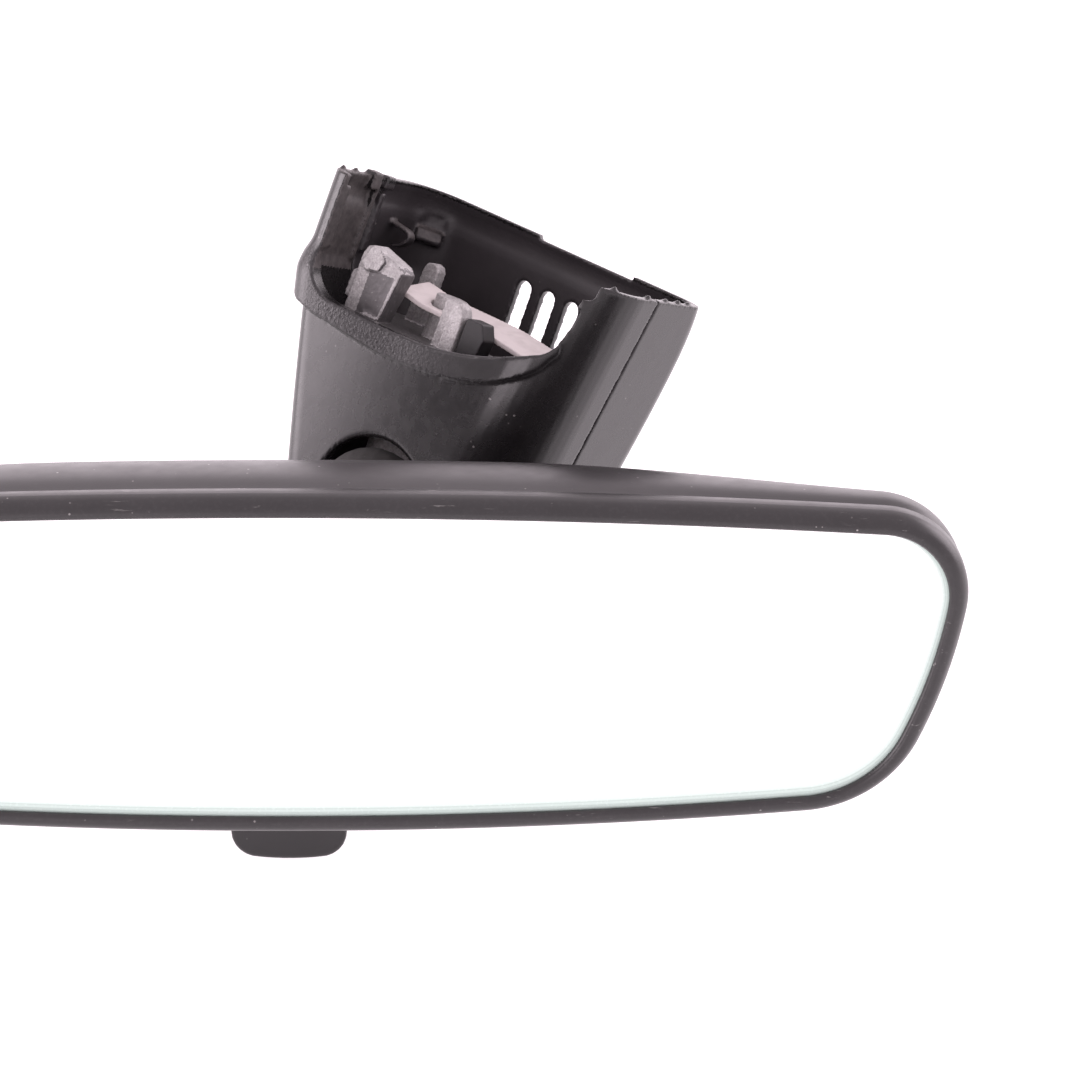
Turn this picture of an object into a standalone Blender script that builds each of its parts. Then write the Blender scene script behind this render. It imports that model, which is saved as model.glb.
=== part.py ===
"""Interior rear-view mirror: a prismatic day/night head on a ball-jointed windscreen mount.

Row frame, in metres: the origin is the centre of the bearing pad that meets the windscreen
button, +X runs to the right along the head, +Y away from the driver and +Z up.  All
dimensions below are in millimetres and are scaled to metres when a mesh is made.

Head coordinates have the row's axes, with their origin at the middle of the glass's front
face.  Mount coordinates (x along the cover, y from the driver to the windscreen side, z out
of the bearing pad) are the row's axes turned by MOUNT_TURN.
"""

import math

import bmesh
import bpy
import numpy as np
from mathutils import Euler, Vector

MM = 0.001

# Head: a 239 x 64 mm oval of five tangent arcs on each side of its centre line.
HEAD_HALF_WIDTH = 119.3
HEAD_HEIGHT = 63.8
HEAD_TOP = 31.6
TOP_CORNER_RADIUS = 15.6
BOTTOM_CORNER_RADIUS = 23.6
ARC_ENDS_DEG = (3.4, 99.0, 114.0, 175.0)  # heading at the end of the first four arcs
ARC_STEPS = (9, 7, 4, 8, 8)
BEZEL_LIP = 3.6
BEZEL_FRONT = -1.5
SEAM = 4.5  # depth of the joint between bezel and case
GAP = 0.3
CASE_WALL = 2.0
GLASS_INSET = 2.4
GLASS_THIN = 3.2
GLASS_THICK = 5.2

# Ball joint and the head's other pivots, in head coordinates (Y, Z of each axis).
BALL_CENTRE = Vector((0.0, 27.0, 4.0))
BALL_RADIUS = 8.0
LINER = (8.35, 9.4)
SLEEVE = (9.8, 10.8)
SOCKET = (11.2, 12.9)
SHELL_OPENING_DEG = 68.0  # half angle of the shells' mouths, about +Y
CASE_MOUTH_RADIUS = 13.0
FLIP_AXIS = Vector((0.0, 14.0, 17.0))
LEVER_AXIS = Vector((0.0, 14.0, -24.0))
TAB_WIDTH = 21.0
TAB_BOTTOM = -44.0
TAB_CORNER = 5.0
FLIP_EAR_REACH = 25.0  # each ear's middle from the head's centre line
LEVER_EAR_REACH = 8.0
PIN_RADIUS = 1.5
LEVER_PIN_RADIUS = 1.2
FLANGE_RADIUS = 17.6
FLANGE_THICK = 1.5
SCREW_REACH = 15.3

# Where the head and the mount stand in the row frame.
HEAD_ORIGIN = Vector((-28.7, -85.9, -39.1))
MOUNT_TURN = Euler([math.radians(a) for a in (-20.0, 11.3, -35.8)], "XYZ")

# Mount cover: an open-topped shell in two halves, split across its depth.  Its own
# coordinates run along the cover (s), towards the driver (t) and up from the rim (v).
COVER_X = 10.0  # the cover's s = 0 along the mount's x
RIM_Z = 15.7  # the rim above the bearing pad
COVER_LEFT = -36.4
COVER_RIGHT = 32.0
NEAR_DEPTH = 18.0
FAR_DEPTH = 20.5
FAR_BELLY = 3.7  # the far half deepens by this much below its rim
COVER_WALL = 2.0
COVER_BOTTOM = -71.0
COVER_BOTTOM_ROUND = 11.0
LEFT_LEAN_START = -16.5
LEFT_LEAN = 0.34
RIGHT_LEAN = 0.135
CORNERS = {"near_right": 6.0, "far_right": 6.0, "far_left": 10.0, "near_left": 4.5}
ARM_HOLE = (-2.5, -55.5, 12.5)  # along, down, radius
SLOT_WIDTH = 2.7
SLOT_PITCH = 5.75
SLOT_TOP = -9.8
SLOT_LENGTH = 15.0
SLOT_COUNT = 5
FIRST_SLOT = -8.2

# Foot and arm, in mount coordinates.
PAD_RADIUS = 3.2
BASE_TOP = -8.8
BASE_BOTTOM = -14.0
BOSS_RADIUS = 9.0
BOSS_BOTTOM = -24.0
CROSS_PIN_Z = -19.5
ARM_RADIUS = 6.0
NECK_RADIUS = 4.5
NECK_LENGTH = 14.0  # from the ball's centre to the arm's end
NECK_DIRECTION = Vector((-0.244, 0.875, 0.418))

BLACK = (0.030, 0.028, 0.030)
SOFT_BLACK = (0.022, 0.021, 0.022)
CAST_GREY = (0.56, 0.55, 0.54)
STEEL = (0.72, 0.70, 0.67)


class Frame:
    """An empty that pieces hang from, and the point of their coordinates where it stands."""

    def __init__(self, name, pivot, parent=None, origin=None, turn=None):
        self.pivot = pivot
        self.empty = bpy.data.objects.new(name, None)
        bpy.context.collection.objects.link(self.empty)
        if parent:
            self.empty.parent = parent.empty
            self.empty.location = (pivot - parent.pivot) * MM
        else:
            self.empty.location = (origin + pivot) * MM if origin else pivot * MM
        if turn:
            self.empty.rotation_euler = turn


def material(name, colour, roughness, metallic=0.0):
    made = bpy.data.materials.new(name)
    made.use_nodes = True
    shader = made.node_tree.nodes["Principled BSDF"]
    shader.inputs["Base Color"].default_value = (*colour, 1.0)
    shader.inputs["Roughness"].default_value = roughness
    shader.inputs["Metallic"].default_value = metallic
    made.diffuse_color = (*colour, 1.0)
    return made


def solid(name, points, faces, frame, finish=None, sharp_deg=35.0):
    """A closed mesh from points in millimetres, hung from a frame."""
    mesh = bpy.data.meshes.new(name)
    mesh.from_pydata([(Vector(p) - frame.pivot) * MM for p in points], [], faces)
    shape = bmesh.new()
    shape.from_mesh(mesh)
    bmesh.ops.recalc_face_normals(shape, faces=shape.faces)
    if shape.calc_volume(signed=True) < 0.0:
        bmesh.ops.reverse_faces(shape, faces=shape.faces)
    shape.to_mesh(mesh)
    shape.free()
    mesh.shade_smooth()
    mesh.set_sharp_from_angle(angle=math.radians(sharp_deg))
    piece = bpy.data.objects.new(name, mesh)
    bpy.context.collection.objects.link(piece)
    piece.parent = frame.empty
    if finish:
        mesh.materials.append(finish)
    return piece


def loft(rings, ring_loop=False, ladder=False):
    """Points and faces of a skin through equal rings, capped unless it closes on itself.

    A ladder cap runs across a ring in narrow strips, so that a bowed end keeps its shape.
    """
    count = len(rings[0])
    points = [p for ring in rings for p in ring]
    faces = []
    pairs = len(rings) if ring_loop else len(rings) - 1
    for i in range(pairs):
        low, high = i * count, ((i + 1) % len(rings)) * count
        for k in range(count):
            nxt = (k + 1) % count
            faces.append((low + k, low + nxt, high + nxt, high + k))
    if ladder:
        faces += ladder_cap(count, 0) + ladder_cap(count, len(points) - count)
    elif not ring_loop:
        faces.append(tuple(reversed(range(count))))
        faces.append(tuple(range(len(points) - count, len(points))))
    return points, faces


def ladder_cap(count, first):
    """Strips across a ring that starts at the top centre, from each top point down."""
    half = count // 2
    rungs = []
    for i in range(-half // 2, half // 2):
        corners = (i % count, (i + 1) % count, (half - i - 1) % count, (half - i) % count)
        rungs.append(tuple(first + c for c in dict.fromkeys(corners)))
    return rungs


def turned(profile, centre, axis, steps):
    """Points and faces of a profile of (radius, height) turned about an axis.

    A radius of zero at either end of the profile is a single point on the axis.  A profile
    with no such end is a closed loop.
    """
    axis = Vector(axis).normalized()
    side = axis.orthogonal().normalized()
    other = axis.cross(side)
    points = []
    starts = []
    for radius, height in profile:
        starts.append(len(points))
        foot = Vector(centre) + axis * height
        if radius == 0.0:
            points.append(foot)
            continue
        for k in range(steps):
            turn = math.tau * k / steps
            points.append(foot + (side * math.cos(turn) + other * math.sin(turn)) * radius)
    faces = []
    open_ended = profile[0][0] == 0.0
    pairs = len(profile) - 1 if open_ended else len(profile)
    for i in range(pairs):
        j = (i + 1) % len(profile)
        a, b = starts[i], starts[j]
        for k in range(steps):
            nxt = (k + 1) % steps
            if profile[i][0] == 0.0:
                faces.append((a, b + k, b + nxt))
            elif profile[j][0] == 0.0:
                faces.append((a + k, b, a + nxt))
            else:
                faces.append((a + k, b + k, b + nxt, a + nxt))
    return points, faces


def rod(radius, start, end, steps=20):
    """Points and faces of a plain round bar between two points."""
    start, end = Vector(start), Vector(end)
    length = (end - start).length
    profile = [(0.0, 0.0), (radius, 0.0), (radius, length), (0.0, length)]
    return turned(profile, start, end - start, steps)


def block(low, high):
    """Points and faces of a box."""
    (x0, y0, z0), (x1, y1, z1) = low, high
    ring = [(x0, y0), (x1, y0), (x1, y1), (x0, y1)]
    return loft([[(x, y, z0) for x, y in ring], [(x, y, z1) for x, y in ring]])


def prism(outline, low, high, axis):
    """Points and faces of an outline extruded along one axis ("x", "y" or "z")."""
    def put(a, b, c):
        return {"x": (c, a, b), "y": (a, c, b), "z": (a, b, c)}[axis]

    return loft([[put(a, b, low) for a, b in outline], [put(a, b, high) for a, b in outline]])


def swept(path, radii, steps):
    """Points and faces of a round bar along a smooth path, its radius given point by point."""
    rings = []
    side = None
    for i, centre in enumerate(path):
        along = (path[min(i + 1, len(path) - 1)] - path[max(i - 1, 0)]).normalized()
        side = along.orthogonal() if side is None else side - along * side.dot(along)
        side.normalize()
        other = along.cross(side)
        turns = [math.tau * k / steps for k in range(steps)]
        rings.append([
            centre + (side * math.cos(t) + other * math.sin(t)) * radii[i] for t in turns
        ])
    return loft(rings)


def guide(name, shape, frame):
    """A solid that only cuts or joins another one."""
    tool = solid(name, *shape, frame)
    tool.hide_render = True
    tool.display_type = "WIRE"
    return tool


def combine(piece, operation, shapes, frame):
    """Cuts shapes out of a piece (DIFFERENCE) or joins them to it (UNION), one by one."""
    for i, shape in enumerate(shapes):
        kind = operation.lower()
        tool = guide(f"{piece.name}_{kind}_{len(piece.modifiers)}_{i}", shape, frame)
        step = piece.modifiers.new(f"{kind}_{i}", "BOOLEAN")
        step.operation = operation
        step.solver = "EXACT"
        step.object = tool


# ---------------------------------------------------------------- head outline


def outline_arcs():
    """Radii of the five arcs from the top centre round to the bottom centre, and headings."""
    ends = [math.radians(a) for a in (0.0, *ARC_ENDS_DEG, 180.0)]
    s = [math.sin(a) for a in ends]
    c = [math.cos(a) for a in ends]
    corner, low_corner = TOP_CORNER_RADIUS, BOTTOM_CORNER_RADIUS
    top = (HEAD_HALF_WIDTH - corner * (1.0 - s[1])) / s[1]
    across = top * s[1] + corner * (s[2] - s[1]) + low_corner * (s[4] - s[3])
    down = top * (c[0] - c[1]) + corner * (c[1] - c[2]) + low_corner * (c[3] - c[4])
    side, bottom = np.linalg.solve(
        [[s[3] - s[2], s[5] - s[4]], [c[2] - c[3], c[4] - c[5]]],
        [-across, HEAD_HEIGHT - down],
    )
    return (top, corner, float(side), low_corner, float(bottom)), ends


def outline(inset):
    """The head's closed outline in X and Z, drawn in by a constant distance."""
    radii, ends = outline_arcs()
    x, z = 0.0, HEAD_TOP - inset
    half = [(x, z)]
    for radius, start, end, steps in zip(radii, ends, ends[1:], ARC_STEPS):
        for k in range(steps):
            a = start + (end - start) * k / steps
            b = start + (end - start) * (k + 1) / steps
            x += (radius - inset) * (math.sin(b) - math.sin(a))
            z -= (radius - inset) * (math.cos(a) - math.cos(b))
            half.append((x, z))
    half[-1] = (0.0, half[-1][1])
    return half + [(-x, z) for x, z in reversed(half[1:-1])]


def outline_ring(inset, depth, flatten=1.0):
    """The outline as a ring of points at one depth, which may follow the height."""
    reach = depth if callable(depth) else lambda z: depth
    middle = HEAD_TOP - HEAD_HEIGHT / 2
    return [(x, reach(z), middle + (z - middle) * flatten) for x, z in outline(inset)]


def case_depth(x, y):
    """Depth of the case's skin: the back bows, its ends half as deep as its middle."""
    share = min(1.0, max(0.0, (abs(x) - 40.0) / 78.0))
    bow = 1.0 - 0.46 * share * share * (3.0 - 2.0 * share)
    front = SEAM + GAP
    return front + (y - front) * bow


def glass_back(z):
    """Depth of the glass's silvered face: the glass is a wedge, thicker at the top."""
    share = (z - HEAD_TOP + HEAD_HEIGHT) / HEAD_HEIGHT
    return GLASS_THIN + (GLASS_THICK - GLASS_THIN) * share


# ---------------------------------------------------------------- head pieces


def front_bezel(frame, finish):
    section = [
        (0.0, SEAM), (0.0, 2.2), (0.35, 0.4), (1.2, -0.9), (2.3, BEZEL_FRONT),
        (3.1, BEZEL_FRONT + 0.15), (BEZEL_LIP, BEZEL_FRONT + 0.7), (BEZEL_LIP, -GAP),
        (GLASS_INSET - GAP, -GAP), (GLASS_INSET - GAP, SEAM),
    ]
    solid("front_bezel", *loft([outline_ring(*s) for s in section], True), frame, finish)


def mirror_glass(frame, finish):
    rings = [outline_ring(GLASS_INSET, 0.0), outline_ring(GLASS_INSET, glass_back)]
    solid("mirror_glass", *loft(rings), frame, finish)


def mirror_pad(frame, finish):
    """Foam sheet between the silvered face and its carrier."""
    rings = [outline_ring(5.0, lambda z: glass_back(z) + GAP), outline_ring(5.0, 6.6)]
    solid("mirror_pad", *loft(rings), frame, finish)


def glass_carrier(frame, finish):
    """Stiff plate behind the glass, with ears for the flip hinge and for the lever's pin."""
    plate = loft([outline_ring(3.2, 6.9), outline_ring(3.2, 8.4)])
    carrier = solid("glass_carrier", *plate, frame, finish)
    root = 7.4
    y, z = FLIP_AXIS.y, FLIP_AXIS.z
    low_y, low_z = LEVER_AXIS.y, LEVER_AXIS.z
    ear = [(root, z - 5), (y + 1, z - 4), (y + 3.6, z), (y + 1, z + 3.6), (root, z + 5)]
    low_ear = [
        (root, low_z + 4), (low_y, low_z + 3), (low_y + 2.8, low_z),
        (low_y, low_z - 2.8), (root, low_z - 3),
    ]
    ears = []
    bores = []
    for sign in (-1, 1):
        far, near = sign * FLIP_EAR_REACH, sign * LEVER_EAR_REACH
        ears.append(prism(ear, far - 1.5, far + 1.5, "x"))
        ears.append(prism(low_ear, near - 1.0, near + 1.0, "x"))
        bores.append(rod(PIN_RADIUS + GAP, (far - 3, y, z), (far + 3, y, z)))
        bores.append(rod(LEVER_PIN_RADIUS + GAP, (near - 2, low_y, low_z), (near + 2, low_y, low_z), 16))
    combine(carrier, "UNION", ears, frame)
    combine(carrier, "DIFFERENCE", bores, frame)


def rear_case(frame, finish):
    """Tub behind the bezel, with a round mouth for the ball's neck and a slot for the lever."""
    outer = [
        (0.15, SEAM + GAP), (0.2, 11.0), (0.45, 16.5), (1.1, 20.5), (2.3, 24.0), (4.2, 27.8),
        (6.8, 31.0), (10.0, 33.4), (13.5, 34.5),
    ]
    inner = [
        (14.8, 32.4), (11.2, 31.3), (8.2, 29.2), (5.9, 26.4), (4.2, 22.8), (3.1, 19.0), (2.4, 15.6),
        (0.15 + CASE_WALL, SEAM + GAP),
    ]
    rings = [outline_ring(14.8, 33.0, 0.3), outline_ring(14.8, 32.8, 0.7)]
    rings += [outline_ring(*s) for s in inner + outer]
    rings += [outline_ring(13.5, 34.9, 0.7), outline_ring(13.5, 35.1, 0.3)]
    bowed = [[(x, case_depth(x, y), z) for x, y, z in ring] for ring in rings]
    case = solid("rear_case", *loft(bowed, ladder=True), frame, finish)
    mouth = rod(CASE_MOUTH_RADIUS, (0, 29, BALL_CENTRE.z), (0, 38, BALL_CENTRE.z), 40)
    half = TAB_WIDTH / 2 + 1.0
    slot = block((-half, 8.4, -38), (half, 17.4, -25))
    combine(case, "DIFFERENCE", [mouth, slot], frame)


def hinge_pins(head, finish):
    for name, axis, radius, half in (
        ("hinge_pin", FLIP_AXIS, PIN_RADIUS, 28.0),
        ("lever_pin", LEVER_AXIS, LEVER_PIN_RADIUS, 10.5),
    ):
        ends = [(sign * half, axis.y, axis.z) for sign in (-1, 1)]
        solid(name, *rod(radius, *ends), head, finish)


def detent_spring(frame, finish):
    """Leaf on the carrier that holds the lever in its day or night place."""
    leaf = [
        (8.7, -10.0), (9.2, -10.0), (9.4, -15.0), (10.7, -18.4), (9.9, -20.6),
        (9.4, -20.6), (10.1, -18.4), (8.9, -15.2), (8.7, -14.6),
    ]
    solid("detent_spring", *prism(leaf, -4.0, 4.0, "x"), frame, finish)


def toggle_lever(frame, finish):
    half, top = TAB_WIDTH / 2, -29.4

    def tab(inset, depth):
        corner = TAB_CORNER - inset
        low = TAB_BOTTOM + inset
        ring = [(half - inset, top)]
        for k in range(7):
            a = math.radians(90.0 * k / 6)
            x = half - TAB_CORNER + corner * math.cos(a)
            ring.append((x, low + 0.5 + corner * (1 - math.sin(a))))
        ring.append((0.0, low))
        ring += [(-x, z) for x, z in reversed(ring[:-1])]
        return [(x, depth, z) for x, z in ring]

    sides = [(0.9, 12.3), (0.25, 12.6), (0.0, 13.2), (0.0, 15.4), (0.25, 16.0), (0.9, 16.3)]
    lever = solid("toggle_lever", *loft([tab(*s) for s in sides]), frame, finish)
    y, z = LEVER_AXIS.y, LEVER_AXIS.z
    neck = block((-5.5, 12.8, top - 1.5), (5.5, 15.2, z))
    hub = rod(3.0, (-5.8, y, z), (5.8, y, z))
    horn = block((-3.5, 13.0, z + 1.0), (3.5, 15.0, z + 5.0))
    combine(lever, "UNION", [neck, hub, horn], frame)
    bore = rod(LEVER_PIN_RADIUS + GAP, (-8, y, z), (8, y, z), 16)
    combine(lever, "DIFFERENCE", [bore], frame)


# ---------------------------------------------------------------- ball joint


def shell_profile(inner, outer, start_deg, end_deg, steps):
    """A spherical shell's section, from a polar angle about -Y to another."""
    angles = [math.radians(start_deg + (end_deg - start_deg) * k / steps) for k in range(steps + 1)]
    out = [(outer * math.sin(a), outer * math.cos(a)) for a in angles]
    back = [(inner * math.sin(a), inner * math.cos(a)) for a in reversed(angles)]
    if start_deg == 0.0:
        out[0] = (0.0, outer)
        back[-1] = (0.0, inner)
    return out + back


def ball_shells(yaw, roll, finish):
    for name, frame, (inner, outer) in (
        ("ball_liner", yaw, LINER), ("ball_sleeve", roll, SLEEVE),
    ):
        profile = shell_profile(inner, outer, 0.0, 180.0 - SHELL_OPENING_DEG, 8)
        solid(name, *turned(profile, BALL_CENTRE, (0, -1, 0), 24), frame, finish)


def socket_pieces(frame, cup_finish, steel):
    """Cup round the front of the ball, a clamp ring behind it, and the two screws."""
    inner, outer = SOCKET
    seat, back = GAP / 2, GAP / 2 + FLANGE_THICK
    cup = shell_profile(inner, outer, 0.0, 84.0, 6)
    cup[6:8] = [(outer, back), (FLANGE_RADIUS, back - GAP), (FLANGE_RADIUS, seat), (inner, seat)]
    cup_piece = solid("socket_cup", *turned(cup, BALL_CENTRE, (0, -1, 0), 24), frame, cup_finish)
    ring = shell_profile(inner, outer, 97.0, 180.0 - SHELL_OPENING_DEG, 3)
    ring[0] = (outer, -back)
    ring += [(inner, -seat), (FLANGE_RADIUS, -seat), (FLANGE_RADIUS, -back)]
    clamp = solid("socket_clamp", *turned(ring, BALL_CENTRE, (0, -1, 0), 24), frame, cup_finish)
    for side, sign in (("left", -1), ("right", 1)):
        x, y, z = sign * SCREW_REACH, BALL_CENTRE.y, BALL_CENTRE.z
        bore = rod(1.45, (x, y - 4, z), (x, y + 4, z), 12)
        combine(cup_piece, "DIFFERENCE", [bore], frame)
        combine(clamp, "DIFFERENCE", [bore], frame)
        head, tip = y + back + GAP, y - 3.0
        profile = [
            (0.0, tip), (1.1, tip), (1.1, head), (2.1, head), (2.1, head + 1.0),
            (1.5, head + 1.4), (0.0, head + 1.4),
        ]
        shape = turned(profile, (x, 0, z), (0, 1, 0), 12)
        solid(f"clamp_screw_{side}", *shape, frame, steel)


def pivot_bracket(frame, finish):
    """Plate that carries the socket, with a barrel round the flip hinge's pin."""
    y, z, radius = FLIP_AXIS.y, FLIP_AXIS.z, 3.4
    front, back, low = 11.0, 13.7, -17.0
    outline_yz = [(front, low), (back, low)]
    for k in range(13):
        turn = math.radians(-95.0 + 250.0 * k / 12)
        outline_yz.append((y + radius * math.cos(turn), z + radius * math.sin(turn)))
    bracket = solid("pivot_bracket", *prism(outline_yz, -20.0, 20.0, "x"), frame, finish)
    combine(bracket, "DIFFERENCE", [rod(PIN_RADIUS + GAP, (-24, y, z), (24, y, z))], frame)


def bracket_bumpers(frame, finish):
    profile = [(0.0, 8.8), (2.4, 8.8), (3.0, 9.4), (3.0, 10.7), (0.0, 10.7)]
    for side, x in (("left", -14.0), ("right", 14.0)):
        shape = turned(profile, (x, 0, -12.0), (0, 1, 0), 16)
        solid(f"bracket_bumper_{side}", *shape, frame, finish)


# ---------------------------------------------------------------- mount cover


def cover_extents(v, inset):
    """The cover's ends and depths (left, right, near, far) at a height v below its rim."""
    lean_left = max(0.0, LEFT_LEAN_START - v) * LEFT_LEAN
    lean_right = -v * RIGHT_LEAN
    above = max(0.0, COVER_BOTTOM + inset + COVER_BOTTOM_ROUND - v) / COVER_BOTTOM_ROUND
    tuck = COVER_BOTTOM_ROUND * (1.0 - math.sqrt(max(0.0, 1.0 - min(above, 1.0) ** 2)))
    shrink = inset + tuck
    draft = 0.0006 * v * v
    belly = FAR_BELLY * (1.0 - math.exp(v / 8.0))
    return (
        COVER_LEFT + lean_left + shrink, COVER_RIGHT - lean_right - shrink,
        NEAR_DEPTH - draft - shrink, FAR_DEPTH + belly - draft - shrink,
    )


def cover_ring(v, inset, height=None):
    """One ring of the cover's skin in mount coordinates."""
    left, right, near, far = cover_extents(v, inset)
    corners = (
        (right, near, CORNERS["near_right"], 0), (left, near, CORNERS["near_left"], 1),
        (left, -far, CORNERS["far_left"], 2), (right, -far, CORNERS["far_right"], 3),
    )
    z = (v if height is None else height) + RIM_Z
    ring = []
    for along, depth, radius, quarter in corners:
        radius = max(radius - inset, 0.8)
        cx = along - math.copysign(radius, along)
        cy = depth - math.copysign(radius, depth)
        for k in range(7):
            turn = math.radians(90.0 * quarter + 90.0 * k / 6)
            s, t = cx + radius * math.cos(turn), cy + radius * math.sin(turn)
            ring.append((s + COVER_X, -t, z))
    return ring


def cover_levels(low):
    """Heights of the cover's rings: even down the walls, closer round the bottom."""
    walls = [-3.0, -7.0, -12.0, -16.5, -25.0, -36.0, -48.0]
    turns = [math.radians(a) for a in (0, 22, 42, 60, 74, 86)]
    return walls + [low + COVER_BOTTOM_ROUND * (1.0 - math.sin(a)) for a in turns]


def scoop_outline():
    """Edge of the opening in the near half: down, round, across and steeply back up."""
    high = 12.0
    edge = [(-30.8, high), (-31.0, -15.0)]
    for k in range(1, 7):
        a = math.radians(180.0 + 84.0 * k / 6)
        edge.append((-22.8 + 8.2 * math.cos(a), -15.0 + 8.2 * math.sin(a)))
    edge += [
        (-14.0, -23.5), (-7.0, -23.3), (-1.0, -23.0), (5.0, -22.0), (10.0, -20.7), (15.0, -18.9),
        (20.0, -16.6), (22.4, -15.2), (23.7, -13.4), (24.7, -9.8), (26.0, -3.5), (27.5, 3.0),
        (27.5, high),
    ]
    return edge


def to_mount(outline_sv):
    return [(s + COVER_X, v + RIM_Z) for s, v in outline_sv]


def mount_cover(frame, finish):
    reach = 80.0
    skin = loft([cover_ring(v, 0.0) for v in [0.0, *cover_levels(COVER_BOTTOM)]])
    floor_levels = cover_levels(COVER_BOTTOM + COVER_WALL)
    hollow_rings = [cover_ring(v, COVER_WALL) for v in floor_levels]
    hollow = loft([cover_ring(0.0, COVER_WALL, 6.0), *hollow_rings])
    near = solid("cover_rear", *skin, frame, finish)
    back = solid("cover_front", *skin, frame, finish)
    keep = GAP / 2
    far_half = block((-reach, -keep, -reach), (reach, reach, reach))
    near_half = block((-reach, -reach, -reach), (reach, keep, reach))
    combine(near, "DIFFERENCE", [hollow, far_half], frame)
    combine(back, "DIFFERENCE", [hollow, near_half], frame)
    along, down, radius = ARM_HOLE
    x, z = along + COVER_X, down + RIM_Z
    hole = rod(radius, (x, -3.0, z), (x, -40.0, z), 36)
    scoop = prism(to_mount(scoop_outline()), -40.0, -4.0, "y")
    combine(near, "DIFFERENCE", [scoop, hole], frame)
    combine(back, "DIFFERENCE", cover_slots(), frame)
    dip = [(-8.8, 9.0), (-7.6, -0.9), (14.9, -0.9), (15.7, 9.0)]
    combine(back, "DIFFERENCE", [prism(to_mount(dip), 10.0, 34.0, "y")], frame)


def cover_slots():
    slots = []
    half = SLOT_WIDTH / 2
    for i in range(SLOT_COUNT):
        middle = FIRST_SLOT + SLOT_PITCH * i
        ring = []
        for centre, start in ((SLOT_TOP - half, 0), (SLOT_TOP - SLOT_LENGTH + half, 180)):
            for k in range(7):
                a = math.radians(start + 180.0 * k / 6)
                ring.append((middle + half * math.cos(a), centre + half * math.sin(a)))
        slots.append(prism(to_mount(ring), 8.0, 40.0, "y"))
    return slots


# ---------------------------------------------------------------- foot and arm


def foot_casting(frame, finish):
    """Die-cast foot: base, claws for the button, bearing pad and the arm's socket."""
    corner, middle, half_length, half_depth = 3.0, -0.5, 16.5, 11.5
    base = []
    for sx, sy, quarter in ((1, 1, 0), (-1, 1, 1), (-1, -1, 2), (1, -1, 3)):
        for k in range(4):
            a = math.radians(90.0 * quarter + 30.0 * k)
            x = middle + sx * (half_length - corner) + corner * math.cos(a)
            base.append((x, sy * (half_depth - corner) + corner * math.sin(a)))
    casting = solid("foot_casting", *prism(base, BASE_BOTTOM, BASE_TOP, "z"), frame, finish)
    foot = BASE_TOP - 1.0
    knob = [
        (-15.6, foot), (-15.6, 2.6), (-14.9, 4.2), (-13.6, 4.7), (-12.2, 4.3), (-7.0, 2.9),
        (-5.7, 1.6), (-7.6, foot),
    ]
    step = [(-17.0, -6.6), (-17.0, -1.6), (-16.2, -0.8), (-14.0, -0.8), (-14.0, -6.6)]
    post = [
        (-12.7, foot), (-12.6, 2.2), (-11.9, 3.3), (-10.8, 3.6), (-9.6, 3.3), (-9.0, 2.2),
        (-8.8, foot),
    ]
    short = [
        (6.8, foot), (6.9, -1.2), (7.6, 0.9), (8.4, 1.3), (9.3, 0.6), (10.1, -1.0), (10.1, foot),
    ]
    ledge = [(3.4, foot), (3.4, 0.3), (4.0, 1.0), (7.4, 1.1), (8.0, 0.5), (8.0, foot)]
    claws = [
        prism(knob, -11.2, -6.2, "y"),
        prism(step, -10.4, -5.9, "y"),
        prism(post, 6.6, 9.6, "y"),
        prism(short, -11.0, -7.4, "y"),
        prism(ledge, -7.9, -5.7, "y"),
    ]
    boss = rod(BOSS_RADIUS, (0, 0, BOSS_BOTTOM), (0, 0, foot), 28)
    pad = rod(PAD_RADIUS, (0, 0, foot), (0, 0, 0), 28)
    combine(casting, "UNION", [*claws, boss, pad], frame)
    bore = rod(ARM_RADIUS + GAP, (0, 0, BOSS_BOTTOM - 2), (0, 0, -12.3), 28)
    cross = rod(PIN_RADIUS + GAP, (0, -12, CROSS_PIN_Z), (0, 12, CROSS_PIN_Z), 14)
    combine(casting, "DIFFERENCE", [bore, cross], frame)


def retaining_spring(frame, finish):
    """Flat leaf between the rows of claws, round the bearing pad."""
    plan = [(-9.4, -5.0), (24.0, -5.0), (27.0, -2.6), (27.0, 2.6), (24.0, 5.0), (-9.4, 5.0)]
    leaf = solid("retaining_spring", *prism(plan, -2.4, -1.4, "z"), frame, finish)
    combine(leaf, "DIFFERENCE", [rod(PAD_RADIUS + 0.4, (0, 0, -3), (0, 0, 2), 28)], frame)


def damper_block(frame, finish):
    """Moulded block beside the right-hand claw."""
    side = [(10.5, -8.4), (15.0, -8.4), (15.6, -3.4), (14.2, -0.6), (10.9, -0.6), (10.5, -1.2)]
    solid("damper_block", *prism(side, -10.4, -6.0, "y"), frame, finish)


def smooth_path(knots, steps):
    """Points on a Catmull-Rom curve through knots."""
    ends = [knots[0] * 2 - knots[1], *knots, knots[-1] * 2 - knots[-2]]
    path = []
    for a, b, c, d in zip(ends, ends[1:], ends[2:], ends[3:]):
        for k in range(steps):
            u = k / steps
            path.append(0.5 * (
                b * 2 + (c - a) * u + (a * 2 - b * 5 + c * 4 - d) * u * u
                + (b * 3 - a - c * 3 + d) * u * u * u
            ))
    path.append(knots[-1])
    return path


def ball_in_mount():
    """The ball's centre in mount coordinates."""
    turn = MOUNT_TURN.to_matrix()
    return turn.transposed() @ (HEAD_ORIGIN + BALL_CENTRE)


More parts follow.
